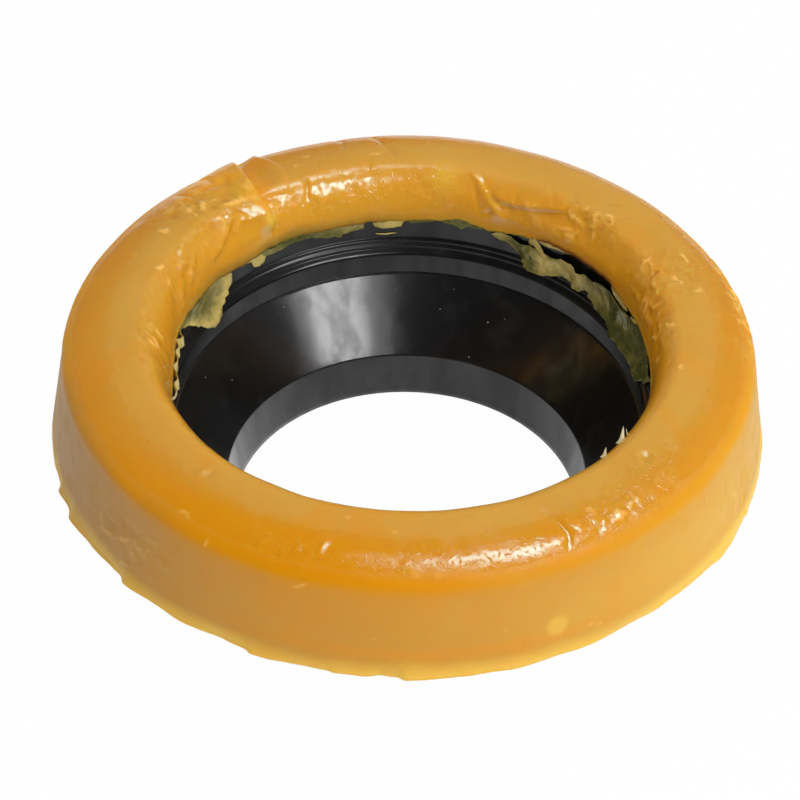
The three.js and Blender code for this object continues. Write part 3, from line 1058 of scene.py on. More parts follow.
    # Where the wax was handled: each patch, how strongly, and the grain that it took there
    worked: list[tuple[Window, float, Grain]] = field(default_factory=lambda: [
        (Window(137, 34, 12, 9), 1.0, Grain(pitch=3.8, rise=0.13, seed=31, octaves=3, creased=True)),
        (Window(112, 42, 18, 5), 0.9, Grain(pitch=3.0, rise=0.14, seed=33, octaves=4)),
        (Window(108, 39, 17, 3), 0.9, Grain(pitch=1.5, rise=0.07, seed=35, octaves=1)),
        (Window(84, 41, 8, 4), 0.8, Grain(pitch=2.6, rise=0.12, seed=37, octaves=3)),
        (Window(60, 43, 10, 4), 0.9, Grain(pitch=3.4, rise=0.10, seed=41, octaves=4, slant=0.8)),
        (Window(43, 38, 8, 4.5), 1.0, Grain(pitch=2.4, rise=0.09, seed=43, octaves=3, creased=True)),
        (Window(20, 34, 10, 7), 1.0, Grain(pitch=2.0, rise=0.085, seed=53, octaves=2, stretch=4, slant=1.6)),
        (Window(12, 41, 14, 5), 1.0, Grain(pitch=2.6, rise=0.12, seed=67, octaves=3, creased=True)),
        (Window(158, 42, 10, 5), 0.7, Grain(pitch=3.4, rise=0.12, seed=71, octaves=3, creased=True)),
        (Window(-176, 38, 9, 6), 0.8, Grain(pitch=2.4, rise=0.08, seed=73, octaves=3)),
        (Window(-80, 24.0, 19, 2.6), 1.0, Grain(pitch=1.7, rise=0.03, seed=61, octaves=2)),
        (Window(-52, 26.0, 9, 4.5), 1.0, Grain(pitch=2.0, rise=0.06, seed=63, octaves=2, creased=True)),
        (Window(-38, 30.0, 9, 4.0), 0.8, Grain(pitch=2.2, rise=0.06, seed=65, octaves=2)),
        (Window(-110, 24.0, 10, 3.0), 0.7, Grain(pitch=1.8, rise=0.05, seed=69, octaves=2)),
        (Window(-140, 9.0, 11, 5.0), 0.9, Grain(pitch=2.4, rise=0.09, seed=75, octaves=3, creased=True)),
        (Window(-84, 22.6, 17, 1.0), 0.8, Grain(pitch=1.4, rise=0.06, seed=79, octaves=2, mean_radius=66)),
        (Window(12, 22.0, 16, 4.0), 0.8, Grain(pitch=2.8, rise=0.08, seed=85, octaves=3, creased=True)),
        (Window(-25, 9.0, 12, 6.0), 0.5, Grain(pitch=4.0, rise=0.08, seed=77, octaves=2, creased=True)),
    ])
    scuffs: tuple[Scuffs, ...] = (
        Scuffs((-140, 10), (12, 6), 12, 0.16, 301), Scuffs((-118, 21), (14, 6), 9, 0.14, 303),
        Scuffs((137, 33), (11, 9), 16, 0.26, 305), Scuffs((112, 31), (10, 7), 6, 0.2, 307),
        Scuffs((158, 40), (8, 6), 10, 0.26, 309), Scuffs((45, 37), (9, 6), 16, 0.24, 311, reach=3.4),
        Scuffs((20, 34), (10, 7), 12, 0.2, 313, reach=3.4), Scuffs((4, 40), (12, 4), 10, 0.3, 315),
        Scuffs((-52, 26), (9, 4), 8, 0.16, 317), Scuffs((-25, 9), (12, 8), 9, 0.16, 319),
        Scuffs((-75, 8), (16, 6), 6, 0.1, 321), Scuffs((-85, 31), (16, 4), 6, 0.12, 323),
        Scuffs((68, 41), (9, 3), 8, 0.24, 325), Scuffs((-176, 38), (8, 5), 7, 0.22, 327),
    )

    def section(self) -> tuple[np.ndarray, np.ndarray, np.ndarray]:
        """The moulded skin from the foot to the lip, with no marks on it.

        The wall is straight. The shoulder and the bore are elliptical quarters that meet at the crown.

        Returns:
            Places (n, 2) as radius and height, outward directions (n, 2), and distances along (n).
        """
        wall_top = self.height - self.shoulder_rise
        run = self.foot_radius - self.draft - self.crown_radius
        wall_rows, shoulder_rows, bore_rows = self.skin_rows
        z = np.linspace(self.foot_rounding, wall_top, wall_rows)
        wall = np.stack([self.foot_radius - self.draft * z / wall_top, z], 1)
        a = np.linspace(0, math.pi / 2, shoulder_rows)[1:]
        z = wall_top + self.shoulder_rise * np.sin(a)
        shoulder = np.stack([self.crown_radius + run * np.cos(a), z], 1)
        a = np.linspace(math.pi / 2, math.pi, bore_rows)[1:]
        z = self.lip_height + (self.height - self.lip_height) * np.sin(a)
        bore = np.stack([self.crown_radius + (self.crown_radius - self.lip_radius) * np.cos(a), z], 1)
        places = np.concatenate([wall, shoulder, bore])
        along = np.concatenate([[0], np.cumsum(np.linalg.norm(np.diff(places, axis=0), axis=1))])
        slope = np.gradient(places, axis=0)
        facing = np.stack([slope[:, 1], -slope[:, 0]], 1)
        return places, facing / np.linalg.norm(facing, axis=1, keepdims=True), along + self.foot_rounding

    def skin(self, along: np.ndarray, radius: np.ndarray) -> Skin:
        """Lays out the skin's grid, with the scratches and clouds on it.

        Args:
            along: mm over the skin, as a row.
            radius: mm from the axis at each place along, as a row.

        Returns:
            The grid.
        """
        angle = np.linspace(-180, 180, self.columns, endpoint=False)[:, None]
        scratches = np.zeros(np.broadcast(angle, along).shape)
        for patch in self.scuffs:
            for fold in patch.folds():
                scratches += fold.height(angle, along, radius)
        cloud = Grain(pitch=11, rise=0.9, seed=113).height(angle, along)
        return Skin(angle, along, radius, scratches, cloud, bell(turn(angle, 42) / 42))

    def relief(self, skin: Skin) -> np.ndarray:
        """How far the skin stands out from its moulded form, in mm.

        The sum of scratches, slow waves, swellings, folds, pocks, and the grain of the handled patches.

        Args:
            skin: its places.

        Returns:
            A height for each place.
        """
        angle, along = skin.angle, skin.along
        total = skin.scratches + patched(self.swells, angle, along)
        for grain in (self.waves, self.ripple):
            total += grain.height(angle, along)
        for mark in (*self.folds, *self.pocks):
            total += mark.height(angle, along, skin.radius)
        for window, strength, grain in self.worked:
            total += 1.5 * strength * window.share(angle, along) * grain.height(angle, along)
        return total

    def foot_flash(self, angle: np.ndarray) -> np.ndarray:
        """How far the foot's edge is squeezed out: the sum of the named lumps and a fine raggedness.

        Args:
            angle: degrees round the ring, as a column.

        Returns:
            A distance in mm at each angle.
        """
        out = Grain(pitch=5, rise=0.11, seed=83, octaves=3, mean_radius=70).height(angle, np.zeros(1))
        for centre, before, after, rise in self.flash:
            away = turn(angle, centre)
            out = out + rise * bell(away / np.where(away < 0, before, after))
        return out

    def edge(self, line: Places, angle: np.ndarray, ragged: float, seed: int) -> np.ndarray:
        """Height of a torn edge round the ring: its line, made ragged by noise.

        Args:
            line: (angle, height) places.
            angle: degrees round the ring, as a column.
            ragged: height in mm of the coarsest tears.
            seed: of the tears.

        Returns:
            A height in mm at each angle.
        """
        knots = np.array(line)
        height = np.interp(turn(angle, 0), knots[:, 0], knots[:, 1])
        return height + Grain(pitch=2.4, rise=ragged, seed=seed, octaves=4).height(angle, np.zeros(1))

    def build(self) -> bpy.types.Object:
        """Builds the closed skin and stores what its finish reads.

        Round the section: the underside, the foot's rounding, wall, shoulder and bore, then the film
        down to its torn edge on the horn, and back behind it round the seat of the horn's flange.

        Returns:
            The ring.
        """
        places, facing, along = self.section()
        skin = self.skin(along[None, :], places[None, :, 0])
        angle, along = skin.angle, skin.along
        end = along.max()
        flash = self.foot_flash(angle)
        settle = ease(along, end - 1.0, end - 5.0)
        out = self.relief(skin) * (settle * 0.85 + 0.15) + flash * bell(along / 2.2)
        lean = 1.3 * bell(turn(angle, 181) / 13) * ease(along, end - 9, end - 1)
        lip = self.edge(self.lip_line, angle, 0.28, 91)
        film = np.minimum(self.edge(self.film_line, angle, 0.42, 97), lip - 0.35)
        skin_r = skin.radius + out * facing[None, :, 0] - lean
        skin_z = places[None, :, 1] + out * facing[None, :, 1]
        skin_z = skin_z + (lip - self.lip_height) * ease(along, end - 8, end)
        foot_r, foot_z = self.foot_rows(angle, flash)
        film_r, film_z, share = self.film_rows(angle, skin_r[:, -1:], skin_z[:, -1:], film)
        seat_r, seat_z = self.seat_rows(angle, film)
        all_r = np.concatenate([foot_r, skin_r, film_r, seat_r], axis=1)
        all_z = np.concatenate([foot_z, skin_z, film_z, seat_z], axis=1)
        points = turned(all_r, angle, all_z + self.underside)
        piece = sheet_mesh("wax_body", points, close_rows=True, close_angles=True)
        self.paint_skin(piece, skin, foot_r.shape[1], share, seat_r.shape[1], lip - film)
        return piece

    def foot_rows(self, angle: np.ndarray, flash: np.ndarray) -> tuple[np.ndarray, np.ndarray]:
        """The underside, from the horn out to the foot, and the foot's rounded edge.

        Args:
            angle: degrees round the ring, as a column.
            flash: how far the edge is squeezed out at each.

        Returns:
            Radii and heights in mm, a column of rows for each angle.
        """
        inner = self.horn.band_radius + self.horn.wall
        flat = np.array([inner, 52, 57, 62, 66, 68.0])[None, :]
        a = np.radians(np.array([-88, -65, -42, -20]))[None, :]
        curve = self.foot_rounding
        round_r = self.foot_radius - curve + curve * np.cos(a) + flash * np.array([0.55, 0.75, 0.9, 1.0])
        round_z = curve + curve * np.sin(a) + 0 * flash
        ripple = Grain(pitch=14, rise=0.10, seed=101, octaves=2).height(angle, flat)
        ripple = ripple * ease(flat, inner, inner + 3) * ease(flat, 68.0, 66.0)
        flat_r = flat + 0 * angle
        return np.concatenate([flat_r, round_r], 1), np.concatenate([ripple.clip(0, 1), round_z], 1)

    def film_rows(self, angle: np.ndarray, lip_r: np.ndarray, lip_z: np.ndarray,
                  film: np.ndarray) -> tuple[np.ndarray, np.ndarray, np.ndarray]:
        """The film from the lip down the horn's collar to its torn edge.

        The film's front lies a film's thickness inside the horn's bore. The lip's own thickness eases
        into it over the first third, and the last row is the edge, a hair off the plastic.

        Args:
            angle: degrees round the ring, as a column.
            lip_r: the lip's radius at each.
            lip_z: the lip's height at each.
            film: the height of the film's edge at each.

        Returns:
            Radii and heights in mm, and how far each row is from the lip, from 0 to 1 at the edge.
        """
        share = np.linspace(0, 1, 13)[None, 1:]
        z = lip_z + (film - lip_z) * share
        wobble = Grain(pitch=1.8, rise=0.06, seed=107, octaves=2, mean_radius=COLLAR).height(angle, z)
        thin = self.film_thickness + wobble.clip(-0.08, 0.12)
        thin = thin * ease(share, 1.02, 0.8) + 0.02
        bore = self.horn.bore_radius(z)
        thick = (bore - lip_r).clip(0.05, 4)
        blend = ease(share, 0.0, 0.34)
        return bore - (thick * (1 - blend) + thin * blend), z, share

    def seat_rows(self, angle: np.ndarray, film: np.ndarray) -> tuple[np.ndarray, np.ndarray]:
        """Behind the film and round the horn's flange, back to the underside.

        Args:
            angle: degrees round the ring, as a column.
            film: the height of the film's edge at each.

        Returns:
            Radii and heights in mm, a column of rows for each angle.
        """
        horn = self.horn
        gap = self.seat_gap
        sill, roof = horn.flange_top - horn.wall - gap, horn.flange_top + gap
        rim, neck = horn.flange_radius + gap, horn.collar_radius + horn.wall + gap
        rows = [
            (horn.bore_radius(film) + 0.06, film + 0.05),
            (horn.collar_radius + 0.2, horn.flange_top - 0.1),
            (horn.collar_radius + 0.6, roof),
            (rim, roof),
            (rim, sill),
            (neck, sill),
            (neck, horn.band_top + 2.0),
            (horn.band_radius + horn.wall + 0.01, horn.band_top - horn.wall),
        ]
        radius = np.concatenate([np.broadcast_to(r, angle.shape) for r, _ in rows], axis=1)
        height = np.concatenate([np.broadcast_to(z, angle.shape) for _, z in rows], axis=1)
        return radius, height

    def pale(self, skin: Skin, rim: np.ndarray) -> np.ndarray:
        """Where the wax is pale: the foot's rim, where floor light is painted glowing through it, patches,
        the pressed fold's crest and the lip's fringe.

        Args:
            skin: its places.
            rim: how pale the foot's rim is painted at each, as floor light glowing through its thin edge.

        Returns:
            A share from 0 to 1 for each place.
        """
        angle, along = skin.angle, skin.along
        end = along.max()
        patches = 0.5 * ease(Window(-66.4, 7.5, 1.6, 1.9).share(angle, along), 0.15, 0.55)
        patches += patched(self.pale_patches, angle, along)
        patches += Fold(PRESSED_FOLD, 0.12, 0.2, 2.2).height(angle, along, skin.radius)
        fringe = bell(turn(angle, 182) / 16) * ease(along, end - 2.5, end)
        fringe = fringe + bell(turn(angle, 76) / 17) * ease(along, end - 0.9, end - 0.2) * 1.1
        return np.clip(rim + patches + 0.55 * fringe, 0, 1)

    def amber(self, skin: Skin) -> np.ndarray:
        """Where the wax is clear amber: a band on the shoulder, the far bore, and the deep places.

        Args:
            skin: its places.

        Returns:
            A share from 0 to 1 for each place.
        """
        angle, along, cloud = skin.angle, skin.along, skin.cloud
        rich = 0.85 + 0.4 * bell(turn(angle, -114) / 24) - 0.5 * skin.untouched
        bore = 0.05 + 0.75 * bell(turn(angle, 20) / 38)
        band = rich * bell((along - 24.0 - 0.6 * cloud) / 4.2) + bore * bell((along - 43 - cloud) / 4.0)
        deep = 0.55 * Window(-112, 20, 40, 12).share(angle, along)
        deep += Fold(PRESSED_FOLD, 0.95, 4.5, 0.2).height(angle, along, skin.radius)
        deep += 0.75 * bell((along - 5.6 - 0.6 * cloud) / 1.5) * bell(turn(angle, -78) / 50)
        return np.clip(0.9 * band + deep, 0, 1)

    def handled(self, skin: Skin) -> tuple[np.ndarray, np.ndarray]:
        """Where the wax was handled, and its smears and scrapes, laid on its relief as painted light and
        shade.

        The smear follows the patches' own grain and the scratches, so that what stands up is painted pale and
        lit and what lies deep is painted dark and shaded.

        Args:
            skin: its places.

        Returns:
            How worked each place is, from 0 to 1, and its smear, from -1 for scraped and painted shaded to 1
            for smeared and painted lit.
        """
        worked = np.zeros(skin.scratches.shape)
        smear_and_relief_shade = np.zeros(skin.scratches.shape)
        for window, strength, grain in self.worked:
            share = window.share(skin.angle, skin.along)
            worked = np.maximum(worked, strength * share**0.6)
            colouring = strength * min(1.0, grain.pitch / self.coarse_pitch) ** 2 / grain.rise
            smear_and_relief_shade += colouring * share * grain.height(skin.angle, skin.along)
        return worked, np.clip(0.7 * smear_and_relief_shade + 3.5 * skin.scratches, -1, 1)

    def sheen(self, skin: Skin, worked: np.ndarray) -> tuple[np.ndarray, np.ndarray]:
        """How smooth and how shiny the wax is: satin on its crown, glossy where it was worked.

        Args:
            skin: its places.
            worked: how worked each is.

        Returns:
            The gloss, from 0 for matt to 1, and the shine, which is the strength of what it mirrors.
        """
        angle, along, cloud = skin.angle, skin.along, skin.cloud
        end = along.max()
        satin = ease(along + 0.5 * cloud + self.untouched_width * skin.untouched, 26.0, 33.0)
        satin = satin * ease(along + cloud, 40.0, 35.5)
        creased = Window(129, 35.5, 3.5, 4).share(angle, along)
        gloss = np.clip(1 - 0.8 * satin + 0.45 * worked - 0.4 * creased, 0, 1)
        gloss = gloss * ease(along + 0.4 * cloud, 21.4, 24.0) * ease(along, end - 0.2, end - 3.4)
        dry = 0.45 * bell((along - 20.6) / 1.8) + 0.4 * ease(along, end - 3.4, end - 0.6)
        dry = dry + 0.55 * creased + patched(self.dry_patches, angle, along)
        dry = dry + 0.5 * bell((along - 21.5) / 2.2) * np.sin(np.radians(angle)).clip(0, 1)
        return gloss, np.clip(0.55 + 0.4 * gloss - dry, 0.05, 1)

    def paint_skin(self, piece: bpy.types.Object, skin: Skin, foot_rows: int, share: np.ndarray,
                   seat_rows: int, depth: np.ndarray) -> None:
        """Stores what the finish reads at each point, for the foot, the skin, the film and the seat.

        Args:
            piece: the ring.
            skin: its skin's places.
            foot_rows: rows before the skin's.
            share: the film's rows, from 0 at the lip to 1 at the edge.
            seat_rows: rows after the film's.
            depth: how far the film hangs at each column, in mm.
        """
        angle, along, cloud = skin.angle, skin.along, skin.cloud
        end = along.max()
        # Painted light: the foot's rim is made pale, as floor light glowing through its thin edge, less on
        # the shaded left.
        rim = ease(along + 0.8 * cloud, 4.6, 1.0) * (0.85 - 0.3 * bell(turn(angle, -165) / 30))
        pale = self.pale(skin, rim)
        amber = self.amber(skin)
        worked, smear_and_relief_shade = self.handled(skin)
        gloss, shine = self.sheen(skin, worked)
        # Painted glow: the far bore band and a patch beside the pressed fold are made brighter and warmer,
        # standing in for more light there.
        painted_glow = bell((along - 42.5) / 5) * (0.30 + 0.6 * bell(turn(angle, 105) / 55))
        painted_glow = painted_glow + 0.8 * Window(131, 25, 6, 6).share(angle, along)
        # Cloudy tone and painted sheen: the crown and a band of the wall are made paler and greyer, as if
        # mirroring the pale backdrop.
        crown = ease(along + self.untouched_width * skin.untouched, 27, 31) * ease(along, 42, 38)
        crown = crown * np.clip(0.75 + 0.3 * cloud, 0, 1)
        wall = 0.5 * bell((along - 11) / 7) * np.clip(0.7 + 0.5 * cloud, 0, 1)
        # Painted shade and sheen: the left side is made darker and greyer, away from the key light.
        shade = bell(turn(angle, -165) / 32) * ease(along + 2 * cloud, 23, 16)
        olive = 0.8 * self.olive.share(angle, along) * ease(along + 0.5 * cloud, end - 3.2, end + 0.4)
        clots = Grain(pitch=4.5, rise=0.35, seed=127, octaves=3, mean_radius=COLLAR).height(angle, 0 * share)
        thick = np.clip(self.film_clot + clots + 0.2 * ease(depth, 1.4, 0.5), 0, 1)
        # Painted shadow: along the lip over the torn strip, dark red-brown, darkest at the edge.
        under = ease(turn(angle, 43), 16, 11) * ease(-turn(angle, 43), 16, 11)
        painted = {
            "gloss": (gloss[:, :1], gloss, 1.0),
            "shine": (shine[:, :1], shine, 0.6),
            "smear_and_relief_shade": (0.0, smear_and_relief_shade, 0.0),
            "painted_lip_shadow": (0.0, under * ease(along, end - 1.4, end), under),
            "pale": (rim[:, :1], pale, pale[:, -1:]),
            "amber": (amber[:, :1], amber, 0.0),
            "painted_glow": (0.0, painted_glow, 0.0),
            "cloudy_and_sheen": (wall[:, :1], np.clip(crown + wall, 0, 1), 0.0),
            "left_shade_and_sheen": (shade[:, :1], 0.75 * shade, 0.0),
            "film": (0.0, olive, np.maximum(ease(share, 0.0, 0.25), olive[:, -1:])),
            "thick": (0.0, self.film_clot, thick),
            "worked": (0.0, worked, 0.8),
        }
        columns = len(angle)
        for name, (foot, body, hanging) in painted.items():
            hanging = np.broadcast_to(hanging, (columns, share.shape[1]))
            parts = [
                np.broadcast_to(foot, (columns, foot_rows)),
                np.broadcast_to(body, (columns, along.shape[1])),
                hanging,
                np.broadcast_to(hanging[:, -1:], (columns, seat_rows)),
            ]
            paint(piece, name, np.concatenate(parts, axis=1))

    def dress(self, piece: bpy.types.Object, finish: bpy.types.Material) -> None:
        """Gives the wax its finish and puts it in the place of its solid.

        Args:
            piece: the ring.
            finish: the wax's material.
        """
        piece.data.materials.append(finish)
        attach(piece, "root")
        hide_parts("wax_ring")


@dataclass(frozen=True)
class Rag:
    """One sheet of film on the horn: its upper and lower edge, and how it stands off the plastic.

    Upper, lower, stand and clot are (angle, value) places: edges in mm above the ring's underside,
    stand in mm off the bore, and clot from 0 for thin olive film to 1 for thick yellow wax.
    """

    upper: Places
    lower: Places
    stand: Places
    clot: Places
    seed: int
    ragged: float = 0.25
    lean: float = 0.0
    thickness: float = 0.3
    wave: float = 0.25
    edge_clot: float = 0.3
    columns_per_degree: int = 6

    def span(self) -> tuple[float, float]:
        """First and last angle of the sheet."""
        return self.lower[0][0], self.lower[-1][0]

    def grid(self, horn: Horn, rows: int) -> tuple[np.ndarray, np.ndarray]:
        """The sheet as a closed ribbon: down its front and up its back.

        A column's height runs evenly from the lower to the upper edge. Its front stands off the bore
        by the stand, waves and the lean, which grows towards the upper edge; its back lies behind.

        Args:
            horn: whose bore it hangs on.
            rows: points from edge to edge.

        Returns:
            Points (columns, 2 rows, 3) in mm above the ring's underside, and the clot at each.
        """
        first, last = self.span()
        columns = max(24, round((last - first) * self.columns_per_degree))
        angle = np.linspace(first, last, columns)[:, None]
        share = np.linspace(0, 1, rows)[None, :]
        top, foot, stand, clot = (
            np.interp(angle, np.array(line)[:, 0], np.array(line)[:, 1])
            for line in (self.upper, self.lower, self.stand, self.clot)
        )
        torn = Grain(pitch=1.3, rise=self.ragged, seed=self.seed, octaves=3, mean_radius=COLLAR)
        open_share = ease(angle, first, first + 1.0) * ease(angle, last, last - 1.0)
        top = top + open_share * torn.height(angle, np.full(1, 3.0))
        foot = foot + open_share * torn.height(angle, np.full(1, 40.0))
        top = np.maximum(top, foot + 0.12)
        z = foot + (top - foot) * share
        waves = Grain(pitch=4.5, rise=self.wave, seed=self.seed + 7, octaves=4, mean_radius=COLLAR)
        off = stand + self.lean * ease(share, 0.1, 1.0) + open_share * waves.height(angle, z).clip(-0.15, 1)
        front = horn.bore_radius(z) - off.clip(0.12, 5)
        back = front + self.thickness * (0.3 + 0.7 * np.sin(math.pi * share) ** 0.5)
        radius = np.concatenate([front[:, ::-1], np.minimum(back, horn.bore_radius(z) - 0.03)], axis=1)
        height = np.concatenate([z[:, ::-1], z], axis=1)
        spots = Grain(pitch=3, rise=0.12, seed=self.seed + 13, octaves=4, mean_radius=COLLAR).height(angle, z)
        clot = clot * (0.35 + 0.8 * bell((share - 0.6) / 0.4)) + spots + self.edge_clot * bell(share * 4)
        clot = clot.clip(0, 1)
        return turned(radius, angle, height), np.concatenate([clot[:, ::-1], clot], axis=1)


@dataclass
class TornFilm:
    """The film that has torn from the lip and hangs over the horn's collar."""

    underside: float
    horn: Horn
    rows: int = 16
    rags: tuple[Rag, ...] = (
        # far left: the olive patch with its yellow flap and tip
        Rag([(139, 11.0), (141.2, 13.0), (144.9, 13.7), (148.3, 13.6), (155.2, 12.9), (162.8, 13.2),
             (166.4, 12.3)],
            [(139, 8.7), (140, 8.7), (141.5, 7.6), (144, 6.1), (146.1, 5.1), (149.6, 3.7), (152.6, 5.0),
             (155.3, 6.6), (156.1, 7.3), (161.1, 9.7), (164.2, 11.1), (166.4, 11.9)],
            [(139, 0.3), (150, 0.45), (166, 0.6)],
            [(139, 1.2), (141.4, 1.1), (143.5, 0.45), (148, 0.35), (152, 0.35), (160, 0.15)],
            seed=201, ragged=0.18, edge_clot=0.6, wave=0.35),
        # the yellow tab
        Rag([(128.0, 11.2), (129.5, 12.0), (132, 12.4), (136, 12.2)],
            [(128.0, 10.6), (128.7, 9.4), (130.3, 8.9), (132.1, 9.6), (132.9, 11.2), (134.5, 11.2),
             (136, 11.7)],
            [(128, 0.3), (136, 0.5)], [(128, 0.9), (136, 0.9)], seed=211, ragged=0.14, edge_clot=0.5),
        # the olive strip under the far left lip
        Rag([(101.6, 12.2), (107, 12.9), (114, 13.3), (121, 12.8), (125.5, 12.0), (129.6, 12.8)],
            [(101.6, 10.9), (103.8, 10.4), (107.0, 10.3), (107.6, 9.4), (109, 9.8), (111.5, 10.1),
             (114.6, 10.7), (116.8, 11.2), (119.1, 11.4), (121.4, 11.0), (125.7, 10.4), (127.4, 10.6),
             (128.6, 10.9), (129.6, 12.2)],
            [(101, 0.3), (130, 0.4)], [(101, 0.5), (106, 0.45), (112, 0.15), (120, 0.1), (130, 0.3)],
            seed=221, ragged=0.14, edge_clot=0.15),
        # the yellow patch at the middle
        Rag([(91.4, 13.0), (93, 13.2), (96, 12.6), (99.4, 12.2)],
            [(91.4, 12.3), (91.9, 11.8), (92.3, 10.8), (94.6, 10.5), (96.9, 10.6), (98.9, 11.2),
             (99.4, 11.9)],
            [(91, 0.3), (100, 0.4)], [(91, 1.1), (96, 0.9), (100, 0.4)],
            seed=231, ragged=0.12, edge_clot=0.4),
        Rag([(93.6, 9.15), (96.2, 9.05), (98.6, 9.25)], [(93.6, 9.0), (96.2, 8.7), (98.6, 9.05)],
            [(93, 0.2), (99, 0.2)], [(93, 0.9), (99, 0.9)], seed=237, ragged=0.06, wave=0.05, thickness=0.15),
        # thin olive remains at the far right lip
        Rag([(71.5, 13.2), (78, 14.2), (84, 13.9), (90.4, 12.6)],
            [(71.5, 12.4), (74, 12.1), (75.2, 12.3), (77.2, 11.2), (79.4, 12.2), (84, 12.5), (88, 11.6),
             (90.4, 11.7)],
            [(71, 0.3), (90, 0.3)], [(71, 0.15), (90, 0.1)], seed=241, ragged=0.24, edge_clot=0.05),
        # far right: the long strip that leans into the bore
        Rag([(3.4, 9.6), (4.8, 9.4), (7.1, 11.2), (9.7, 12.7), (17, 13.3), (22.2, 12.8), (25.7, 12.7),
             (28.9, 12.9), (34, 13.3), (37.9, 12.8), (41.5, 12.5), (44, 11.8), (44.7, 12.9), (49.3, 12.7),
             (52.3, 11.5), (56.3, 12.0), (59.1, 12.2), (61.8, 11.4), (64.2, 12.8), (67, 12.9), (69.6, 12.0)],
            [(3.4, 9.2), (6, 6.4), (10.3, 4.6), (14.8, 4.3), (19.5, 4.2), (23.5, 4.5), (27.1, 4.9),
             (30.2, 5.5), (33.9, 6.0), (36.6, 6.6), (39.2, 7.3), (41.1, 8.0), (43.9, 7.0), (45.6, 7.5),
             (47.3, 8.0), (50, 7.6), (53, 7.0), (55.9, 6.4), (58.8, 5.8), (60.2, 6.6), (61.7, 8.3),
             (63.6, 9.4), (65, 10.3), (67.3, 10.5), (69.6, 11.6)],
            [(3, 0.3), (20, 0.5), (34, 0.6), (48, 0.8), (60, 0.45), (70, 0.3)],
            [(3, 0.3), (14, 0.1), (30, 0.15), (36, 0.45), (42, 0.65), (50, 0.85), (55, 0.8), (58, 0.25),
             (63, 0.25), (67, 0.6), (70, 1.0)],
            seed=251, ragged=0.26, lean=0.5, wave=0.4, edge_clot=0.08),
        # pale flakes at the lip above it
        Rag([(53.3, 12.1), (54.5, 13.0), (55.4, 13.8), (57.4, 15.0), (58.6, 15.6), (59.2, 13.2)],
            [(53.3, 11.6), (54.5, 11.5), (56.3, 12.5), (57.8, 12.9), (58.5, 12.6), (59.2, 12.8)],
            [(53, 1.9), (59, 0.9)], [(53, 1.0), (59, 1.0)], seed=261, ragged=0.14, thickness=0.2, wave=0.15),
        Rag([(46.2, 15.2), (49, 15.8), (51.6, 15.9), (54.5, 15.4), (57.0, 14.7)],
            [(46.2, 15.0), (48.3, 14.4), (51.5, 14.0), (54.5, 13.8), (57.0, 14.3)],
            [(46, 0.9), (57, 0.9)], [(46, 0.9), (57, 0.9)], seed=267, ragged=0.12, thickness=0.25),
        Rag([(23.6, 13.5), (25.9, 14.2), (28.4, 14.8), (31.4, 14.9)],
            [(23.6, 13.1), (26.5, 12.6), (28.9, 12.9), (31.4, 14.4)],
            [(23, 0.9), (32, 0.9)], [(23, 0.8), (32, 0.8)], seed=271, ragged=0.1, thickness=0.2),
        Rag([(16.0, 14.9), (18.2, 14.4), (21.4, 13.3)], [(16.0, 14.6), (18.2, 13.6), (21.4, 12.8)],
            [(16, 1.1), (22, 0.9)], [(16, 1.0), (22, 1.0)], seed=277, ragged=0.1, thickness=0.2),
        # the pale fringe of the left lip
        Rag([(166, 13.2), (175, 13.8), (184, 14.0), (192, 13.0)],
            [(166, 12.2), (168, 10.8), (173, 11.4), (178, 10.6), (181, 11.8), (184, 10.8), (190, 12.0),
             (192, 12.4)],
            [(166, 1.2), (168, 2.4), (169, 2.9), (170, 2.6), (170.8, 1.7), (172, 2.6), (174, 3.2),
             (175.4, 2.5), (177, 3.1), (179, 2.9), (180.5, 2.2), (183, 3.0), (185.4, 3.4), (187, 2.6),
             (189, 2.9), (192, 1.6)],
            [(166, 1.0), (192, 0.9)], seed=281, ragged=0.3, thickness=0.25),
    )

    def build(self) -> bpy.types.Object:
        """Joins the sheets into one piece and closes their ends.

        Returns:
            The film.
        """
        points, corners, clots, start = [], [], [], 0
        for rag in self.rags:
            grid, clot = rag.grid(self.horn, self.rows)
            columns, ring = grid.shape[:2]
            number = start + np.arange(columns * ring).reshape(columns, ring)
            along = np.roll(number, -1, axis=1)
            sides = np.stack([number[:-1], number[1:], along[1:], along[:-1]], axis=-1).reshape(-1, 4)
            half = np.arange(self.rows - 1)
            lid = np.stack([half, half + 1, ring - 2 - half, ring - 1 - half], axis=-1)
            corners += [sides, number[0][lid], number[-1][lid[:, ::-1]]]
            points.append(grid.reshape(-1, 3))
            clots.append(clot.ravel())
            start += columns * ring
        placed = np.concatenate(points) + np.array([0, 0, self.underside])
        piece = quad_mesh("torn_film", placed, np.concatenate(corners))
        clot = np.concatenate(clots)
        paint(piece, "thick", clot)
        for name, value in (("film", 1.0), ("worked", 0.9), ("gloss", 1.0), ("shine", 0.7)):
            paint(piece, name, np.full(clot.shape, value))
        return piece

    def dress(self, piece: bpy.types.Object, finish: bpy.types.Material) -> None:
        """Gives the film the wax's finish.

        Args:
            piece: the film.
            finish: the wax's material.
        """
        piece.data.materials.append(finish)
        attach(piece, "root")


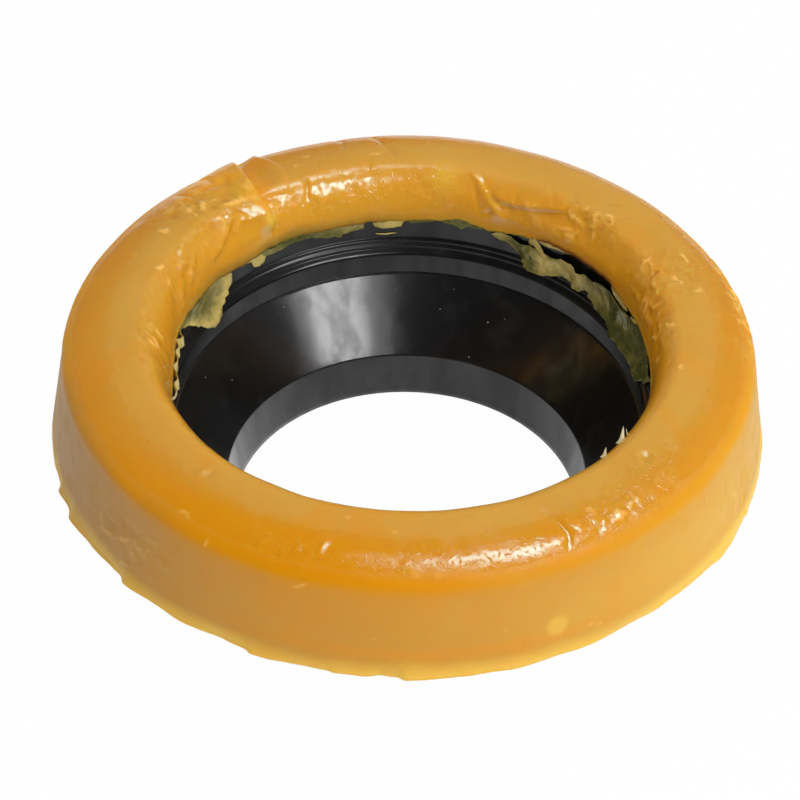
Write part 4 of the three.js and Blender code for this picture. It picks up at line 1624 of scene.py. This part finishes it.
@dataclass
class Crumbs:
    """Fibres pulled out of the lip, and crumbs of wax left on the cone.

    A fibre is its base and tip as (radius, angle, height) with a width; a crumb is an angle, a
    height and a radius. Heights are in mm above the ring's underside.
    """

    underside: float
    horn: Horn
    sides: int = 8
    rings: int = 9
    fibres: tuple[tuple[Triple, Triple, float], ...] = (
        ((49.6, -36.9, 21.9), (48.6, -34.7, 24.4), 0.62),
        ((49.7, -43.2, 22.2), (49.2, -42.0, 23.9), 0.46),
        ((48.9, -33.2, 21.6), (48.3, -32.8, 22.6), 0.14),
        ((48.0, -170.5, 19.5), (46.6, -170.0, 20.6), 0.14),
        ((48.6, -163.5, 20.4), (47.4, -163.0, 21.6), 0.16),
    )
    crumbs: tuple[Triple, ...] = (
        (81.1, -5.8, 0.12), (66.6, -6.4, 0.15), (69.8, -12.9, 0.13), (96.2, -11.5, 0.11), (159.4, -3.1, 0.09),
        (151.6, -7.2, 0.10), (93.9, -2.9, 0.08), (78.0, -2.2, 0.08), (125.5, -1.9, 0.11), (62.0, -5.0, 0.08),
    )

    def tube(self, base: np.ndarray, tip: np.ndarray, width: float) -> np.ndarray:
        """A flat tapered fibre: its radius is the width times (1 - t)^0.8 + 0.8 (1 - t)^6.

        Args:
            base: where it starts, in mm.
            tip: where it ends, in mm.
            width: of its root, in mm.

        Returns:
            Points (rings, sides, 3) in mm.
        """
        t = np.linspace(0, 1, self.rings)[:, None, None]
        a = np.linspace(0, 2 * math.pi, self.sides, endpoint=False)[None, :, None]
        axis = (tip - base) / np.linalg.norm(tip - base)
        first = np.cross(axis, (0.0, 0.0, 1.0))
        first = first / max(np.linalg.norm(first), 1e-6)
        second = np.cross(axis, first)
        radius = width * ((1 - t).clip(0.03, 1) ** 0.8 + 0.8 * (1 - t) ** 6)
        return base + (tip - base) * t + radius * (np.cos(a) * first + 0.35 * np.sin(a) * second)

    def lump(self, angle: float, height: float, radius: float) -> np.ndarray:
        """A flattened ball that sits on the horn's bore.

        Args:
            angle: degrees round the ring.
            height: mm above the ring's underside.
            radius: of the ball, in mm.

        Returns:
            Points (rings, sides, 3) in mm.
        """
        t = np.linspace(0.02, 0.98, self.rings)[:, None, None] * math.pi
        a = np.linspace(0, 2 * math.pi, self.sides, endpoint=False)[None, :, None]
        ball = np.concatenate([np.sin(t) * np.cos(a), np.sin(t) * np.sin(a), np.cos(t) + 0 * a], axis=-1)
        seat = float(self.horn.bore_radius(np.array(height))) - 0.3 * radius
        return turned(np.array(seat), np.array(angle), np.array(height)) + radius * ball * (1.0, 1.0, 0.8)

    def build(self) -> bpy.types.Object:
        """Joins fibres and crumbs into one piece.

        Returns:
            The piece.
        """
        grids = []
        for base, tip, width in self.fibres:
            ends = [turned(np.array(r), np.array(a), np.array(z)) for r, a, z in (base, tip)]
            grids.append(self.tube(ends[0], ends[1], width))
        grids += [self.lump(*crumb) for crumb in self.crumbs]
        size = self.rings * self.sides
        number = np.arange(size).reshape(self.rings, self.sides)
        along = np.roll(number, -1, axis=1)
        sides = np.stack([number[:-1], along[:-1], along[1:], number[1:]], axis=-1).reshape(-1, 4)
        half = np.arange(self.sides // 2 - 1)
        lid = np.stack([half, half + 1, self.sides - 2 - half, self.sides - 1 - half], axis=-1)
        quads = np.concatenate([sides, number[0][lid], number[-1][lid[:, ::-1]]])
        corners = np.concatenate([quads + i * size for i in range(len(grids))])
        placed = np.concatenate([grid.reshape(-1, 3) for grid in grids]) + np.array([0, 0, self.underside])
        return quad_mesh("wax_crumbs", placed, corners)

    def dress(self, piece: bpy.types.Object) -> None:
        """Gives the crumbs their finish.

        Args:
            piece: the fibres and crumbs.
        """
        piece.data.materials.append(ShredFinish().make())
        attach(piece, "root")


# The studio


def aim(azimuth: float, elevation: float) -> Vector:
    """The direction from the seal to a lamp.

    Args:
        azimuth: degrees from the camera's side towards +X.
        elevation: degrees above the floor.

    Returns:
        A vector one unit long.
    """
    around, lift = math.radians(azimuth), math.radians(elevation)
    return Vector((math.sin(around) * math.cos(lift), -math.cos(around) * math.cos(lift), math.sin(lift)))


@dataclass(frozen=True)
class Lamp:
    """A rectangular softbox that faces the seal: its direction, its size in metres, its power in watts."""

    name: str
    azimuth: float
    elevation: float
    size: tuple[float, float]
    power: float
    reach: float = 0.95

    def build(self, target: Vector) -> None:
        """Places the lamp at its reach from a target.

        Args:
            target: what it faces.
        """
        away = aim(self.azimuth, self.elevation)
        data = bpy.data.lights.new(self.name, "AREA")
        data.shape = "RECTANGLE"
        data.size, data.size_y = self.size
        data.energy = self.power
        made = bpy.data.objects.new(self.name, data)
        made.location = target + away * self.reach
        made.rotation_mode = "QUATERNION"
        made.rotation_quaternion = away.to_track_quat("Z", "Y")
        bpy.context.scene.collection.objects.link(made)


@dataclass(frozen=True)
class Pane:
    """A soft-edged bright window that only gloss sees, placed and sized as a lamp would be."""

    azimuth: float
    elevation: float
    size: tuple[float, float]
    strength: float

    def add(self, bench: NodeBench) -> Socket:
        """Adds the window to the world's nodes.

        Its light is its strength in the half of the world that it lies in, times a share for each of
        its two sides: 1 up to 0.6 of the half width, and 0 past 1.05 of it.

        Args:
            bench: the world's.

        Returns:
            The socket of the window's light in each direction.
        """
        around = math.radians(self.azimuth)
        towards = aim(self.azimuth, self.elevation)
        across = Vector((math.cos(around), math.sin(around), 0.0))
        light = bench.reach(bench.lean(towards), 0.0, 0.3, 0.0, self.strength)
        for side, width in zip((across, towards.cross(across)), self.size):
            half = width / 2 / math.hypot(Lamp.reach, width / 2)
            away = bench.maths(Maths.UNSIGNED, bench.lean(side))
            light = bench.product(light, bench.reach(away, half * 0.6, half * 1.05, 1.0, 0.0))
        return light


@dataclass
class Studio:
    """A white floor, a white backdrop behind it, softboxes at the front right and overhead."""

    floor_half: float = 3.0
    floor_colour: Colour = (0.8, 0.8, 0.8)
    camera_white: float = 0.985
    room: float = 0.55
    backdrop: float = 0.33
    mirrored_room: float = 0.07
    mirrored_backdrop: float = 0.12
    mirrored_side: float = 0.12
    target: Vector = field(default_factory=lambda: Vector((-0.001589, 0.0, 0.02884)))
    distance: float = 0.60393
    elevation: float = 41.699
    roll: float = 0.965
    focal_pixels: float = 3074.0
    image_pixels: float = 800.0
    sensor: float = 36.0
    lamps: tuple[Lamp, ...] = (
        Lamp("front_right_softbox", 37, 32, (0.44, 0.50), 3.3),
        Lamp("front_right_wing", 52.6, 28, (0.085, 0.26), 0.42),
        Lamp("front_right_edge", 58, 27, (0.09, 0.30), 0.22),
        Lamp("front_strip", 16.5, 33, (0.20, 0.24), 0.30),
        Lamp("overhead_softbox", 92, 72, (0.21, 0.46), 2.1),
    )
    panes: tuple[Pane, ...] = (Pane(37, 32, (0.44, 0.50), 6.5), Pane(92, 74, (0.40, 0.60), 4.2))

    def camera(self) -> None:
        """Places the camera by its elevation, distance and roll about its own line of sight."""
        elevation, roll = math.radians(self.elevation), math.radians(self.roll)
        back = Vector((0.0, -math.cos(elevation), math.sin(elevation)))
        right = Vector((1.0, 0.0, 0.0))
        up = back.cross(right)
        across = math.cos(roll) * right + math.sin(roll) * up
        upward = -math.sin(roll) * right + math.cos(roll) * up
        data = bpy.data.cameras.new("camera")
        data.sensor_width = self.sensor
        data.lens = self.focal_pixels / self.image_pixels * self.sensor
        data.clip_start, data.clip_end = 0.01, 20.0
        made = bpy.data.objects.new("camera", data)
        made.matrix_world = Matrix((across, upward, back)).transposed().to_4x4()
        made.location = self.target + back * self.distance
        bpy.context.scene.collection.objects.link(made)
        bpy.context.scene.camera = made

    def floor(self) -> None:
        """A white floor that keeps the seal's shadow and is white to the camera.

        Gloss sees it bright near the seal and dimmer farther out and towards +X.
        """
        half = self.floor_half / MM
        corners = np.array([(-half, -half, 0), (half, -half, 0), (half, half, 0), (-half, half, 0)])
        made = quad_mesh("floor", corners, np.array([[0, 1, 2, 3]]))
        material, shader = new_material("white_floor")
        shader.inputs["Base Color"].default_value = (*self.floor_colour, 1.0)
        shader.inputs["Roughness"].default_value = 1.0
        bench = NodeBench(material.node_tree)
        mirrored = bench.product(bench.reach(bench.distance(), 0.05, 0.10, 1.0, 0.15),
                                 bench.reach(bench.split()["X"], -0.03, 0.03, 1.1, 0.55))
        rays = bench.nodes.new("ShaderNodeLightPath").outputs
        direct = bench.maths(Maths.TIMES, rays["Is Camera Ray"], self.camera_white)
        seen = bench.maths(Maths.TIMES_PLUS, rays["Is Glossy Ray"], mirrored, direct)
        glow = bench.nodes.new("ShaderNodeEmission")
        glow.inputs["Strength"].default_value = 1.0
        blend = bench.nodes.new("ShaderNodeMixShader")
        bench.feed(blend.inputs["Fac"], seen)
        bench.feed(blend.inputs[1], shader.outputs["BSDF"])
        bench.feed(blend.inputs[2], glow.outputs["Emission"])
        bench.feed(bench.nodes["Material Output"].inputs["Surface"], blend.outputs["Shader"])
        made.data.materials.append(material)

    def world(self) -> None:
        """White to the camera. To the seal it is a pale backdrop, low and behind, in a dim room."""
        world = bpy.data.worlds.new("studio")
        bpy.context.scene.world = world
        world.use_nodes = True
        bench = NodeBench(world.node_tree, "Generated")
        heading = bench.split()
        screen = bench.product(bench.reach(heading["Y"], 0.1, 0.6),
                               bench.reach(heading["Z"], 0.80, 0.92, 1.0, 0.0))
        lit = bench.maths(Maths.TIMES_PLUS, screen, self.backdrop, self.room)
        mirrored = bench.maths(Maths.TIMES_PLUS, screen, self.mirrored_backdrop, self.mirrored_room)
        side = bench.reach(heading["X"], 0.80, 0.95, 0.0, self.mirrored_side)
        for extra in (side, *(pane.add(bench) for pane in self.panes)):
            mirrored = bench.maths(Maths.PLUS, mirrored, extra)
        rays = bench.nodes.new("ShaderNodeLightPath").outputs
        lit = bench.mix(rays["Is Glossy Ray"], lit, mirrored, Mixed.NUMBERS)
        lit = bench.mix(rays["Is Camera Ray"], lit, 1.0, Mixed.NUMBERS)
        background = bench.nodes["Background"]
        bench.feed(background.inputs["Strength"], lit)
        background.inputs["Color"].default_value = (1, 1, 1, 1)

    def build(self) -> None:
        """Sets camera, floor, world, lamps and the plain view transform."""
        self.camera()
        self.floor()
        self.world()
        for lamp in self.lamps:
            lamp.build(self.target)
        bpy.context.scene.view_settings.view_transform = "Standard"


def main() -> None:
    """Loads the frame, builds each part of the seal round it, and keeps both boxes."""
    logging.basicConfig(level=logging.INFO, format="%(name)s: %(message)s")
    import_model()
    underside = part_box("wax_ring")[0].z / MM
    horn = Horn(underside)
    horn_body = horn.build()
    horn.dress(horn_body)
    LOG.info("horn: %d faces", len(horn_body.data.polygons))
    ring = WaxRing(underside, horn)
    wax_finish = WaxFinish().make()
    wax_body = ring.build()
    ring.dress(wax_body, wax_finish)
    LOG.info("wax ring: %d faces", len(wax_body.data.polygons))
    torn = TornFilm(underside, horn)
    torn_body = torn.build()
    torn.dress(torn_body, wax_finish)
    LOG.info("torn film: %d faces", len(torn_body.data.polygons))
    crumbs = Crumbs(underside, horn)
    loose_wax = crumbs.build()
    crumbs.dress(loose_wax)
    LOG.info("fibres and crumbs: %d faces", len(loose_wax.data.polygons))
    Studio().build()
    LOG.info("studio set")


if __name__ == "__main__":
    main()
